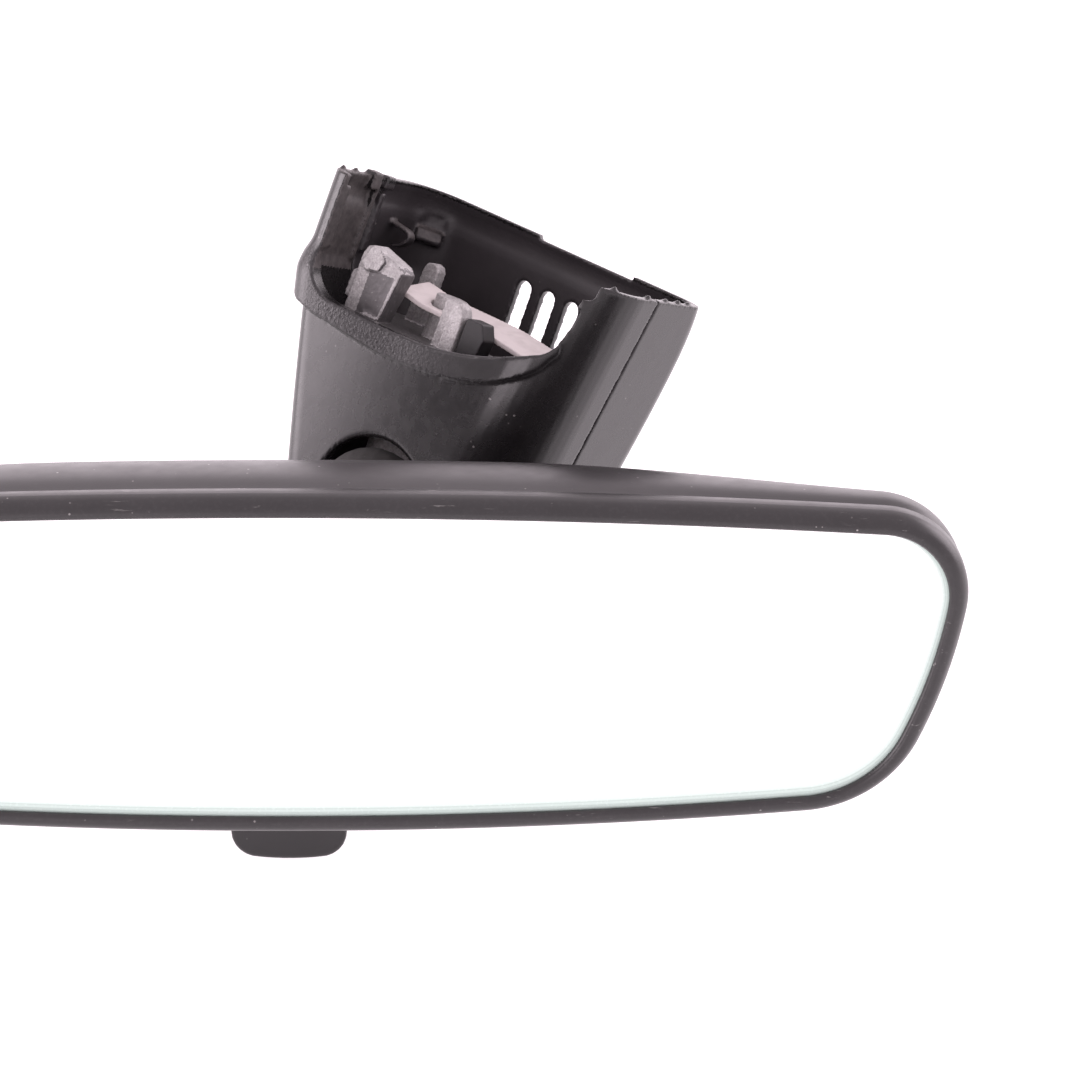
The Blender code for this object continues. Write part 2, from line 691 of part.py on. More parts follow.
def arm_pieces(frame, finish, steel, boot):
    """Cast arm from the foot through the cover's hole, ball stud, cross pin and hole boot."""
    ball = ball_in_mount()
    neck = NECK_DIRECTION.normalized()
    end = ball + neck * NECK_LENGTH
    hole = Vector((ARM_HOLE[0] + COVER_X, 3.0 - NEAR_DEPTH, ARM_HOLE[1] + RIM_Z))
    knots = [
        Vector((0, 0, -12.7)), Vector((0, 0, -19.0)), Vector((0, 0, -25.0)),
        Vector((0.9, -1.6, -30.5)), Vector((3.7, -6.6, -36.0)), hole, end + neck * 6.0, end,
    ]
    path = smooth_path(knots, 4)
    radii = [ARM_RADIUS - 1.1 * min(1.0, max(0.0, (i - 12) / 8)) for i in range(len(path))]
    arm = solid("mount_arm", *swept(path, radii, 16), frame, finish)
    cross = rod(PIN_RADIUS + GAP, (0, -12, CROSS_PIN_Z), (0, 12, CROSS_PIN_Z), 14)
    socket = rod(2.8, end + neck * 8.3, end - neck * 2.0, 14)
    combine(arm, "DIFFERENCE", [cross, socket], frame)
    pin = rod(PIN_RADIUS, (0, -9.6, CROSS_PIN_Z), (0, 9.6, CROSS_PIN_Z), 14)
    solid("arm_pin", *pin, frame, steel)
    stud_profile = [(0.0, -BALL_RADIUS)]
    top = math.degrees(math.acos(NECK_RADIUS / BALL_RADIUS))
    for k in range(1, 14):
        a = math.radians(-90.0 + (90.0 + top) * k / 13)
        stud_profile.append((BALL_RADIUS * math.cos(a), BALL_RADIUS * math.sin(a)))
    reach = NECK_LENGTH - GAP
    stud_profile += [(NECK_RADIUS, reach), (2.5, reach), (2.5, reach + 7.6), (0.0, reach + 7.6)]
    solid("ball_stud", *turned(stud_profile, ball, neck, 24), frame, steel)
    along = (path[21] - path[19]).normalized()
    section = []
    dome, bore = ARM_HOLE[2] - 1.9, ARM_RADIUS + 0.5
    for k in range(8):
        a = math.radians(49.0 - 66.0 * k / 7)
        section.append((dome * math.cos(a), dome * math.sin(a)))
    section += [(bore, section[-1][1]), (bore, section[0][1])]
    solid("arm_boot", *turned(section, path[20], along, 28), frame, boot)


def main():
    for old in list(bpy.data.objects):
        bpy.data.objects.remove(old)
    black = material("black_plastic", BLACK, 0.45)
    case_black = material("case_plastic", BLACK, 0.42)
    cover_black = material("cover_plastic", SOFT_BLACK, 0.5)
    silver = material("mirror_silver", (0.92, 0.92, 0.92), 0.03, 1.0)
    foam = material("foam", (0.10, 0.10, 0.10), 0.95)
    nylon = material("nylon", (0.12, 0.12, 0.12), 0.5)
    cast = material("cast_zinc", CAST_GREY, 0.55, 1.0)
    steel = material("steel", STEEL, 0.3, 1.0)
    spring = material("spring_steel", STEEL, 0.25, 1.0)
    rubber = material("rubber", (0.03, 0.03, 0.03), 0.8)

    mount = Frame("mount_frame", Vector((0, 0, 0)), turn=MOUNT_TURN)
    yaw = Frame("ball_yaw", BALL_CENTRE, origin=HEAD_ORIGIN)
    roll = Frame("ball_roll", BALL_CENTRE, yaw)
    pitch = Frame("ball_pitch", BALL_CENTRE, roll)
    flip = Frame("flip_axis", FLIP_AXIS, pitch)
    lever = Frame("lever_axis", LEVER_AXIS, flip)

    front_bezel(flip, black)
    mirror_glass(flip, silver)
    mirror_pad(flip, foam)
    glass_carrier(flip, nylon)
    rear_case(flip, case_black)
    hinge_pins(flip, steel)
    detent_spring(flip, spring)
    toggle_lever(lever, black)
    ball_shells(yaw, roll, nylon)
    socket_pieces(pitch, nylon, steel)
    pivot_bracket(pitch, steel)
    bracket_bumpers(pitch, rubber)
    mount_cover(mount, cover_black)
    foot_casting(mount, cast)
    retaining_spring(mount, spring)
    damper_block(mount, rubber)
    arm_pieces(mount, cast, steel, rubber)


main()
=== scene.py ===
"""Looks of an interior rear-view mirror: satin black mouldings, silvered glass and a cast foot."""

import math

import bmesh
import bpy
import numpy as np
from mathutils import Euler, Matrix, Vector


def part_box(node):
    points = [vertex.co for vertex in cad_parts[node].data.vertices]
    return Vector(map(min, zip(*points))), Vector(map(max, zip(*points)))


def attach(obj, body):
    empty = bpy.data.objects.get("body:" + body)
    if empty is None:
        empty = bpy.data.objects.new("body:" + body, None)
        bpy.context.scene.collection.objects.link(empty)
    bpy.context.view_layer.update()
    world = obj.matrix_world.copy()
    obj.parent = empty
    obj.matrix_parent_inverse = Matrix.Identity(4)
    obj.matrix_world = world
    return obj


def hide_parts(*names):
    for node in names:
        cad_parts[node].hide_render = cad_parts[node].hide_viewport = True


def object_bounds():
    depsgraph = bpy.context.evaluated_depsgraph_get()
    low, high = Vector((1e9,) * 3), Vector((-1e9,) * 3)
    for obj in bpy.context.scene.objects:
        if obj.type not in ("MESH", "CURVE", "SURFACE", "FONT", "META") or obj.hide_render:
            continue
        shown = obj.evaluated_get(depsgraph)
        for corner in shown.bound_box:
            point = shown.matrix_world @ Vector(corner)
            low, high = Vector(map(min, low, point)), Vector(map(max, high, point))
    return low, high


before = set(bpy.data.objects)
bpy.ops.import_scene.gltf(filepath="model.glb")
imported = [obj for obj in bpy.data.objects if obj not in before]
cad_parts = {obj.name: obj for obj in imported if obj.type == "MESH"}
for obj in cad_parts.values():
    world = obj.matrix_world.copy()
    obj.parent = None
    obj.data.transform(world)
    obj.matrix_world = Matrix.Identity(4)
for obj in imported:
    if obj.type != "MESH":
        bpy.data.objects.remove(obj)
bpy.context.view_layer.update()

MM = 0.001

# ---------------------------------------------------------------- frame and driving sizes

bezel_low, bezel_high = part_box("front_bezel")
glass_low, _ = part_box("mirror_glass")

HEAD_TOP = 31.6  # the head's top above the middle of the glass, in millimetres
HALF_WIDTH = (bezel_high.x - bezel_low.x) / 2 / MM
HEIGHT = (bezel_high.z - bezel_low.z) / MM
HEAD = Vector(((bezel_low.x + bezel_high.x) / 2, glass_low.y, bezel_high.z - HEAD_TOP * MM))
TOP_CORNER = 15.6
BOTTOM_CORNER = 23.6
ARC_ENDS_DEG = (3.4, 99.0, 114.0, 175.0)
ARC_STEPS = (30, 26, 12, 26, 26)

SEAM = (bezel_high.y - HEAD.y) / MM  # the bezel's back edge
GAP = 0.3
CASE_WALL = 2.0
CASE_EDGE = 0.75  # how far the case's front edge is drawn in from the bezel's outline
BACK_BOW = 0.46  # share of the case's depth that is lost towards its ends
BOW_START, BOW_END = 40.0, 118.0
CAP_SHORTENING = 0.35
GLASS_INSET = (glass_low.x - bezel_low.x) / MM
GLASS_THIN = 3.2
GLASS_THICK = 5.2
LIP_INSET = 3.6
BALL_Z = 4.0
MOUTH_RADIUS = 13.0
SLOT_HALF = 11.5
SLOT_MIDDLE = 12.9  # middle of the lever's slot, in depth
SLOT_HALF_DEPTH = 4.5

# Mount coordinates: x along the cover, y from the driver to the windscreen, z out of the pad.
MOUNT_TURN = Euler([math.radians(a) for a in (-20.0, 11.3, -35.8)], "XYZ").to_matrix()

# Cover coordinates: s along the cover, t towards the driver, v up from the rim.
COVER_X = 10.0
RIM_Z = 15.7
COVER_LEFT = -36.4
COVER_RIGHT = 32.0
NEAR_DEPTH = 18.0
FAR_DEPTH = 20.5
FAR_BELLY = 3.7
COVER_WALL = 2.0
COVER_BOTTOM = -71.0
BOTTOM_ROUND = 11.0
LEFT_LEAN_START = -16.5
LEFT_LEAN = 0.30
RIGHT_LEAN = 0.135
CORNERS = (6.0, 4.5, 10.0, 6.0)  # near right, near left, far left, far right
NEAR_RIGHT_MORE = (8.5, 6.5)  # extra reach of the near right corner, along and through the depth
NEAR_STEPS = 16
COVER_DRAFT = 0.0006
CROWN_AT = 4.0  # where the driver's face stands out most
CROWN_HEIGHT = 1.0
ARM_HOLE = (-2.5, -55.5, 12.5)  # s, v, radius
SLOT_WIDTH = 3.3
SLOT_PITCH = 5.75
SLOT_TOP = -9.8
SLOT_LENGTH = 12.4
SLOT_COUNT = 5
FIRST_SLOT = -8.2
CORNER_TURN = math.radians(41.0)
COVER_CELL = 0.36  # remesh cell
BEYOND = 80.0  # further than any edge of the cover
BASE_FLOOR = -8.8  # top of the foot's base, in mount coordinates
COVER_BLACK = (0.0068, 0.0060, 0.0065)

# Stage: metres, from the row frame's origin, and the camera in millimetres from the head.
STUDIO_TINT = (1.0, 0.90, 0.955)
SOFTBOXES = (  # name, place, width, height, watts
    ("left_softbox", (-1.10, 0.08, 0.25), 0.8, 0.8, 11.0),
    ("front_softbox", (-0.62, -0.95, -0.02), 0.5, 0.5, 3.2),
    ("right_softbox", (1.1, 0.55, 0.45), 0.8, 0.8, 6.5),
    ("back_softbox", (0.1, 1.3, 0.24), 2.2, 0.42, 4.0),
)
CARD_MIDDLE = Vector((-0.74, -0.42, 0.0))
CARD_HALF_WIDTH = 0.12
CARD_TOP = 0.75
CAMERA_PLACE = Vector((45.4, -548.0, 245.4))
CAMERA_DOWN_DEG = 22.02
LENS = 115.5


def head(x, y, z):
    """A point of the head, in millimetres from the glass's middle, in the row frame."""
    return HEAD + Vector((x, y, z)) * MM


def mount(x, y, z):
    return MOUNT_TURN @ Vector((x, y, z)) * MM


def cover(s, t, v):
    return mount(s + COVER_X, -t, v + RIM_Z)


def smoothstep(low, high, x):
    share = min(1.0, max(0.0, (x - low) / (high - low)))
    return share * share * (3.0 - 2.0 * share)


# ---------------------------------------------------------------- mesh tools


def closed_mesh(name, points, faces):
    """A mesh from points in the row frame, with its faces turned outwards."""
    mesh = bpy.data.meshes.new(name)
    mesh.from_pydata([tuple(p) for p in points], [], faces)
    shape = bmesh.new()
    shape.from_mesh(mesh)
    bmesh.ops.recalc_face_normals(shape, faces=shape.faces)
    if shape.calc_volume(signed=True) < 0.0:
        bmesh.ops.reverse_faces(shape, faces=shape.faces)
    shape.to_mesh(mesh)
    shape.free()
    return mesh


def loft(rings, ring_loop=False, ladder=False):
    """Points and faces of a skin through equal rings, capped unless it closes on itself."""
    count = len(rings[0])
    points = [p for ring in rings for p in ring]
    faces = []
    for i in range(len(rings) if ring_loop else len(rings) - 1):
        low, high = i * count, ((i + 1) % len(rings)) * count
        for k in range(count):
            nxt = (k + 1) % count
            faces.append((low + k, low + nxt, high + nxt, high + k))
    if ladder:
        for first in (0, len(points) - count):
            half = count // 2
            for i in range(-half // 2, half // 2):
                rung = (i % count, (i + 1) % count, (half - i - 1) % count, (half - i) % count)
                faces.append(tuple(first + c for c in dict.fromkeys(rung)))
    elif not ring_loop:
        faces.append(tuple(reversed(range(count))))
        faces.append(tuple(range(len(points) - count, len(points))))
    return points, faces


def prism(outline, low, high, put):
    """An outline in two coordinates, carried along the third by put(a, b, c)."""
    rings = [[put(a, b, c) for a, b in outline] for c in (low, high)]
    return closed_mesh("prism", *loft(rings))


def brick(low, high, put):
    (x0, y0, z0), (x1, y1, z1) = low, high
    return prism([(x0, y0), (x1, y0), (x1, y1), (x0, y1)], z0, z1, put)


def turned(profile, centre, axis, steps):
    """A profile of (radius, height) turned about an axis, from axis to axis or closed on itself."""
    axis = Vector(axis).normalized()
    side = axis.orthogonal().normalized()
    other = axis.cross(side)
    points, starts, faces = [], [], []
    for radius, height in profile:
        starts.append(len(points))
        foot = Vector(centre) + axis * height * MM
        turns = [0.0] if radius == 0.0 else [math.tau * k / steps for k in range(steps)]
        points += [foot + (side * math.cos(a) + other * math.sin(a)) * radius * MM for a in turns]
    open_ended = profile[0][0] == 0.0
    for i in range(len(profile) - 1 if open_ended else len(profile)):
        j = (i + 1) % len(profile)
        a, b = starts[i], starts[j]
        for k in range(steps):
            nxt = (k + 1) % steps
            if profile[i][0] == 0.0:
                faces.append((a, b + k, b + nxt))
            elif profile[j][0] == 0.0:
                faces.append((a + k, b, a + nxt))
            else:
                faces.append((a + k, b + k, b + nxt, a + nxt))
    return closed_mesh("turned", points, faces)


def through(knots, steps):
    """Points on a Catmull-Rom curve through knots."""
    knots = [Vector(k) for k in knots]
    ends = [knots[0] * 2 - knots[1], *knots, knots[-1] * 2 - knots[-2]]
    path = []
    for a, b, c, d in zip(ends, ends[1:], ends[2:], ends[3:]):
        for k in range(steps):
            u = k / steps
            path.append(0.5 * (
                b * 2 + (c - a) * u + (a * 2 - b * 5 + c * 4 - d) * u * u
                + (b * 3 - a - c * 3 + d) * u * u * u
            ))
    return [*path, knots[-1]]


def tube(path, radius, steps=10):
    """A round bar along a path of row-frame points."""
    rings, side = [], None
    for i, centre in enumerate(path):
        along = (path[min(i + 1, len(path) - 1)] - path[max(i - 1, 0)]).normalized()
        side = along.orthogonal() if side is None else side - along * side.dot(along)
        side.normalize()
        other = along.cross(side)
        turns = [math.tau * k / steps for k in range(steps)]
        rings.append([centre + (side * math.cos(a) + other * math.sin(a)) * radius * MM for a in turns])
    return closed_mesh("tube", *loft(rings))


def host(mesh):
    made = bpy.data.objects.new("host", mesh)
    bpy.context.collection.objects.link(made)
    return made


def result_of(piece, *helpers):
    """The piece's mesh with its modifiers applied; the piece and its helpers are removed."""
    graph = bpy.context.evaluated_depsgraph_get()
    made = bpy.data.meshes.new_from_object(piece.evaluated_get(graph), depsgraph=graph)
    for old in (piece, *helpers):
        bpy.data.objects.remove(old)
    return made


def carved(mesh, *steps):
    """A mesh after cutting (DIFFERENCE) or keeping the overlap (INTERSECT)."""
    piece = host(mesh)
    tools = []
    for operation, shape in steps:
        tools.append(host(shape))
        step = piece.modifiers.new(operation, "BOOLEAN")
        step.operation = operation
        step.solver = "EXACT"
        step.object = tools[-1]
    return result_of(piece, *tools)


def joined(*meshes):
    """Several closed meshes in one, for a remesh to melt together."""
    shape = bmesh.new()
    for mesh in meshes:
        shape.from_mesh(mesh)
    made = bpy.data.meshes.new("joined")
    shape.to_mesh(made)
    shape.free()
    return made


def softened(mesh, cell, rounds, roughness=0.0, grain=0.6):
    """A mesh remeshed in cells of a size in millimetres, its edges eased and its skin cast rough."""
    piece = host(mesh)
    remesh = piece.modifiers.new("remesh", "REMESH")
    remesh.mode = "VOXEL"
    remesh.voxel_size = cell * MM * 1.0
    smooth = piece.modifiers.new("smooth", "SMOOTH")
    smooth.factor = 0.5
    smooth.iterations = rounds
    if roughness:
        clouds = bpy.data.textures.new("cast_skin", "CLOUDS")
        clouds.noise_scale = grain * MM
        clouds.noise_depth = 2
        displace = piece.modifiers.new("skin", "DISPLACE")
        displace.texture = clouds
        displace.texture_coords = "LOCAL"
        displace.strength = roughness * MM
        displace.mid_level = 0.5
    return result_of(piece)


def cad_mesh(node):
    """A welded copy of a CAD node's mesh."""
    shape = bmesh.new()
    shape.from_mesh(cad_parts[node].data)
    bmesh.ops.remove_doubles(shape, verts=shape.verts, dist=0.001 * MM)
    made = bpy.data.meshes.new(node)
    shape.to_mesh(made)
    shape.free()
    return made


def show(name, mesh, body, materials, nodes=(), sharp_deg=35.0):
    """A finished piece that rides on a body and stands for CAD nodes."""
    piece = bpy.data.objects.new(name, mesh)
    bpy.context.collection.objects.link(piece)
    mesh.shade_smooth()
    if sharp_deg:
        mesh.set_sharp_from_angle(angle=math.radians(sharp_deg))
    mesh.materials.clear()
    for finish in materials if isinstance(materials, list) else [materials]:
        mesh.materials.append(finish)
    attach(piece, body)
    if nodes:
        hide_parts(*nodes)
    return piece


def dress(node, finish, bevel=0.2):
    """A CAD node shown as it is, with eased edges and its own finish."""
    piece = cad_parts[node]
    mesh = piece.data
    if "custom_normal" in mesh.attributes:
        mesh.attributes.remove(mesh.attributes["custom_normal"])
    mesh.shade_smooth()
    mesh.materials.clear()
    mesh.materials.append(finish)
    weld = piece.modifiers.new("weld", "WELD")
    weld.merge_threshold = 0.001 * MM
    edge = piece.modifiers.new("bevel", "BEVEL")
    edge.width = bevel * MM
    edge.segments = 2
    edge.limit_method = "ANGLE"
    edge.angle_limit = math.radians(38.0)
    edge.use_clamp_overlap = True
    split = piece.modifiers.new("split", "EDGE_SPLIT")
    split.split_angle = math.radians(38.0)


# ---------------------------------------------------------------- materials


class Finish:
    """A node material with a small vocabulary of procedural layers."""

    def __init__(self, name, colour, roughness, metallic=0.0):
        self.made = bpy.data.materials.new(name)
        self.made.use_nodes = True
        self.tree = self.made.node_tree
        self.shader = self.tree.nodes["Principled BSDF"]
        self.shader.inputs["Base Color"].default_value = (*colour, 1.0)
        self.shader.inputs["Roughness"].default_value = roughness
        self.shader.inputs["Metallic"].default_value = metallic
        self.made.diffuse_color = (*colour, 1.0)
        self.place = self.node("ShaderNodeTexCoord").outputs["Object"]
        self.colour = None
        self.height = None

    def node(self, kind, inputs=None, **settings):
        made = self.tree.nodes.new(kind)
        for key, value in settings.items():
            setattr(made, key, value)
        for key, value in (inputs or {}).items():
            if isinstance(value, bpy.types.NodeSocket):
                self.tree.links.new(value, made.inputs[key])
            else:
                made.inputs[key].default_value = value
        return made

    def noise(self, size, detail=2.0, stretch=None, rough=0.5):
        """Noise with features of a size in millimetres, stretched along the row's axes."""
        place = self.place
        if stretch:
            place = self.node("ShaderNodeMapping", {"Vector": place, "Scale": stretch}).outputs[0]
        inputs = {"Vector": place, "Scale": 1000.0 / size, "Detail": detail, "Roughness": rough}
        return self.node("ShaderNodeTexNoise", inputs).outputs["Fac"]

    def cells(self, size, feature="F1"):
        inputs = {"Vector": self.place, "Scale": 1000.0 / size}
        return self.node("ShaderNodeTexVoronoi", inputs, feature=feature).outputs["Distance"]

    def span(self, value, low, high, to_low=0.0, to_high=1.0):
        inputs = {"Value": value, "From Min": low, "From Max": high, "To Min": to_low, "To Max": to_high}
        return self.node("ShaderNodeMapRange", inputs).outputs[0]

    def math(self, operation, a, b):
        made = self.node("ShaderNodeMath", operation=operation)
        for socket, value in zip(made.inputs, (a, b)):
            if isinstance(value, bpy.types.NodeSocket):
                self.tree.links.new(value, socket)
            else:
                socket.default_value = value
        return made.outputs[0]

    def tint(self, share, colour):
        """Lays a colour over what is there, as much as share says."""
        mix = self.node("ShaderNodeMix", data_type="RGBA")
        below = self.colour or tuple(self.shader.inputs["Base Color"].default_value)
        for key, value in (("Factor", share), ("A", below), ("B", (*colour, 1.0))):
            named = [s for s in mix.inputs if s.name == key]
            socket = [s for s in named if key == "Factor" or s.type == "RGBA"][0]
            if isinstance(value, bpy.types.NodeSocket):
                self.tree.links.new(value, socket)
            else:
                socket.default_value = value
        self.colour = [s for s in mix.outputs if s.type == "RGBA"][0]
        self.tree.links.new(self.colour, self.shader.inputs["Base Color"])

    def wear(self, value, low, high):
        """Roughness from low to high as value goes from 0 to 1."""
        self.tree.links.new(self.span(value, 0.0, 1.0, low, high), self.shader.inputs["Roughness"])

    def bump(self, value, depth):
        """Relief of a depth in millimetres, laid over the relief that is there."""
        inputs = {"Height": value, "Strength": 1.0, "Distance": depth * MM}
        if self.height is not None:
            inputs["Normal"] = self.height
        self.height = self.node("ShaderNodeBump", inputs).outputs[0]
        self.tree.links.new(self.height, self.shader.inputs["Normal"])

    def specks(self, size, density, patch_size):
        """Sparse dust: small dots where a wider noise allows them."""
        dots = self.span(self.cells(size), 0.10, 0.16, 1.0, 0.0)
        where = self.span(self.noise(patch_size, 3.0), density, density + 0.08)
        return self.math("MULTIPLY", dots, where)


def moulded_plastic(name, colour, roughness, grain_size, grain_depth, dust):
    """Satin moulded plastic: fine spark grain, faint flow marks, dust and rubbed patches."""
    f = Finish(name, colour, roughness)
    f.shader.inputs["IOR"].default_value = 1.53
    patches = f.noise(14.0, 4.0)
    lighter = tuple(c * 1.3 + 0.002 for c in colour)
    f.tint(f.span(patches, 0.35, 0.75, 0.0, 0.8), lighter)
    f.tint(f.math("MULTIPLY", f.specks(1.5, 0.60, 5.0), dust), (0.42, 0.40, 0.39))
    f.wear(f.noise(3.0, 5.0), roughness - 0.07, roughness + 0.07)
    f.bump(f.noise(grain_size, 2.0), grain_depth)
    return f


def bezel_plastic():
    """The bezel also carries fine scuffs along its length and a bloom of dust."""
    f = moulded_plastic("bezel_plastic", (0.013, 0.0117, 0.0125), 0.34, 0.22, 0.010, 0.75)
    scuffs = f.noise(0.5, 4.0, stretch=(0.10, 1.0, 1.0), rough=0.65)
    thin = f.span(scuffs, 0.64, 0.70)
    where = f.span(f.noise(16.0, 2.0), 0.50, 0.66)
    f.tint(f.math("MULTIPLY", f.math("MULTIPLY", thin, where), 0.45), (0.30, 0.29, 0.28))
    bloom = f.span(f.noise(0.9, 5.0, rough=0.7), 0.5, 0.85, 0.0, 0.09)
    f.tint(bloom, (0.16, 0.15, 0.155))
    return f.made


def grained_plastic():
    """The proud lip of the cover, moulded with a coarse leather grain."""
    f = moulded_plastic("lip_plastic", COVER_BLACK, 0.32, 0.3, 0.010, 0.35)
    fade = f.node("ShaderNodeAttribute", attribute_name="grain").outputs["Fac"]
    hills = f.cells(0.5, "SMOOTH_F1")
    f.tint(f.math("MULTIPLY", fade, 0.5), (0.016, 0.0145, 0.0155))
    f.tint(f.math("MULTIPLY", f.span(hills, 0.28, 0.55, 0.45, 0.0), fade), (0.038, 0.035, 0.037))
    f.bump(f.math("MULTIPLY", hills, fade), 0.045)
    f.bump(f.math("MULTIPLY", f.noise(0.3, 3.0), fade), 0.03)
    return f.made


def dusty_plastic():
    """Inside of the cover, paler with dust that has settled round the clips; on the top of the snap pad
    its paleness is also painted light.
    """
    f = moulded_plastic("dusty_plastic", (0.034, 0.030, 0.030), 0.5, 0.3, 0.015, 0.6)
    f.tint(f.span(f.noise(1.6, 5.0, rough=0.7), 0.38, 0.70, 0.0, 0.6), (0.120, 0.106, 0.104))
    return f.made


def mirror_finish():
    """Silvered glass with the faintest haze."""
    f = Finish("mirror_silver", (0.985, 0.985, 0.98), 0.02, 1.0)
    f.wear(f.span(f.noise(22.0, 4.0), 0.55, 0.85), 0.012, 0.035)
    return f.made


def ground_glass():
    """The glass's ground border: grey-green, in faint rings that follow the edge."""
    f = Finish("ground_glass", (0.60, 0.73, 0.67), 0.28)
    band = f.node("ShaderNodeAttribute", attribute_name="border").outputs["Fac"]
    dark = f.node("ShaderNodeMath", {0: band, 1: 26.0}, operation="MULTIPLY").outputs[0]
    lines = f.node("ShaderNodeMath", {0: dark}, operation="SINE").outputs[0]
    f.tint(f.span(lines, 0.2, 1.0, 0.0, 0.5), (0.44, 0.56, 0.51))
    f.tint(f.span(band, 0.55, 1.0, 0.0, 0.9), (0.84, 0.95, 0.90))
    f.tint(f.span(band, 0.10, 0.0, 0.0, 0.7), (0.80, 0.93, 0.87))
    f.wear(f.noise(0.6, 3.0), 0.18, 0.34)
    f.bump(f.noise(0.3, 2.0, stretch=(0.2, 1.0, 1.0)), 0.01)
    return f.made


def cast_metal():
    """Bare die-cast zinc: pale, sugary where it is rough, with darker worn faces."""
    f = Finish("cast_zinc", (0.30, 0.29, 0.29), 0.5, 0.45)
    sugar = f.noise(0.42, 6.0, rough=0.75)
    f.tint(f.span(sugar, 0.40, 0.66, 0.0, 0.8), (0.62, 0.60, 0.60))
    f.tint(f.span(f.noise(2.4, 4.0), 0.50, 0.72, 0.0, 0.5), (0.20, 0.19, 0.19))
    f.wear(sugar, 0.34, 0.74)
    f.bump(sugar, 0.10)
    f.bump(f.noise(1.6, 3.0), 0.12)
    return f.made


def trimmed_metal_painted_shade():
    """Trimmed faces of the casting: smooth, with a few pale scratches; their darker colour is painted
    shade and painted dark reflection.
    """
    f = Finish("trimmed_zinc_painted_shade", (0.105, 0.100, 0.102), 0.42, 0.35)
    f.tint(f.span(f.noise(1.8, 4.0), 0.45, 0.75, 0.0, 0.45), (0.17, 0.16, 0.165))
    f.tint(f.span(f.noise(0.4, 5.0, stretch=(0.3, 1.0, 1.0)), 0.66, 0.72, 0.0, 0.5), (0.40, 0.38, 0.38))
    f.wear(f.noise(0.8, 4.0), 0.36, 0.52)
    f.bump(f.noise(0.5, 3.0), 0.02)
    return f.made


def steel_finish(name, colour, roughness, stretch):
    """Drawn or turned steel with fine lines."""
    f = Finish(name, colour, roughness, 1.0)
    lines = f.noise(0.35, 4.0, stretch=stretch, rough=0.6)
    f.tint(f.span(lines, 0.35, 0.75, 0.0, 0.35), tuple(c * 0.75 for c in colour))
    f.wear(lines, roughness - 0.08, roughness + 0.12)
    f.bump(lines, 0.004)
    return f.made


def coated_leaf():
    """Spring leaf with a pale coating, rubbed thin here and there."""
    f = Finish("coated_spring", (0.62, 0.57, 0.56), 0.42)
    f.tint(f.span(f.noise(3.5, 5.0), 0.50, 0.80, 0.0, 0.6), (0.40, 0.36, 0.35))
    f.wear(f.noise(1.2, 3.0), 0.34, 0.52)
    f.bump(f.noise(0.5, 3.0), 0.012)
    return f.made


def rubber_finish(name, colour, grain_size, grain_depth):
    f = Finish(name, colour, 0.72)
    speck = f.noise(grain_size, 5.0, rough=0.7)
    f.tint(f.span(speck, 0.58, 0.72, 0.0, 0.5), tuple(c * 3.0 + 0.03 for c in colour))
    f.wear(speck, 0.62, 0.84)
    f.bump(speck, grain_depth)
    return f.made


def nylon_finish(name, colour):
    f = Finish(name, colour, 0.45)
    f.tint(f.span(f.noise(6.0, 3.0), 0.4, 0.8, 0.0, 0.5), tuple(c * 1.4 for c in colour))
    f.wear(f.noise(1.4, 4.0), 0.38, 0.52)
    f.bump(f.noise(0.3, 2.0), 0.01)
    return f.made


def foam_finish():
    f = Finish("foam", (0.055, 0.055, 0.057), 0.95)
    pores = f.cells(0.9)
    # Painted shade: the foam is darker down in its pores.
    f.tint(f.span(pores, 0.0, 0.35, 0.6, 0.0), (0.02, 0.02, 0.02))
    f.bump(pores, 0.15)
    return f.made


# ---------------------------------------------------------------- head outline


def arc_radii():
    """Radii of the outline's five arcs from the top centre round to the bottom centre."""
    ends = [math.radians(a) for a in (0.0, *ARC_ENDS_DEG, 180.0)]
    s = [math.sin(a) for a in ends]
    c = [math.cos(a) for a in ends]
    top = (HALF_WIDTH - TOP_CORNER * (1.0 - s[1])) / s[1]
    across = top * s[1] + TOP_CORNER * (s[2] - s[1]) + BOTTOM_CORNER * (s[4] - s[3])
    down = top * (c[0] - c[1]) + TOP_CORNER * (c[1] - c[2]) + BOTTOM_CORNER * (c[3] - c[4])
    side, bottom = np.linalg.solve(
        [[s[3] - s[2], s[5] - s[4]], [c[2] - c[3], c[4] - c[5]]], [-across, HEIGHT - down]
    )
    return (top, TOP_CORNER, float(side), BOTTOM_CORNER, float(bottom)), ends


def outline(inset):
    """The head's outline drawn in by a distance: (x, z, heading) from the top centre round."""
    radii, ends = arc_radii()
    inset_at = inset if callable(inset) else lambda heading: inset
    x, z = 0.0, HEAD_TOP
    half = [(x, z - inset_at(0.0), 0.0)]
    for radius, start, end, steps in zip(radii, ends, ends[1:], ARC_STEPS):
        for k in range(steps):
            a = start + (end - start) * k / steps
            b = start + (end - start) * (k + 1) / steps
            x += radius * (math.sin(b) - math.sin(a))
            z -= radius * (math.cos(a) - math.cos(b))
            draw = inset_at(b)
            half.append((x - draw * math.sin(b), z - draw * math.cos(b), b))
    half[-1] = (0.0, half[-1][1], math.pi)
    return half + [(-x, z, -b) for x, z, b in reversed(half[1:-1])]


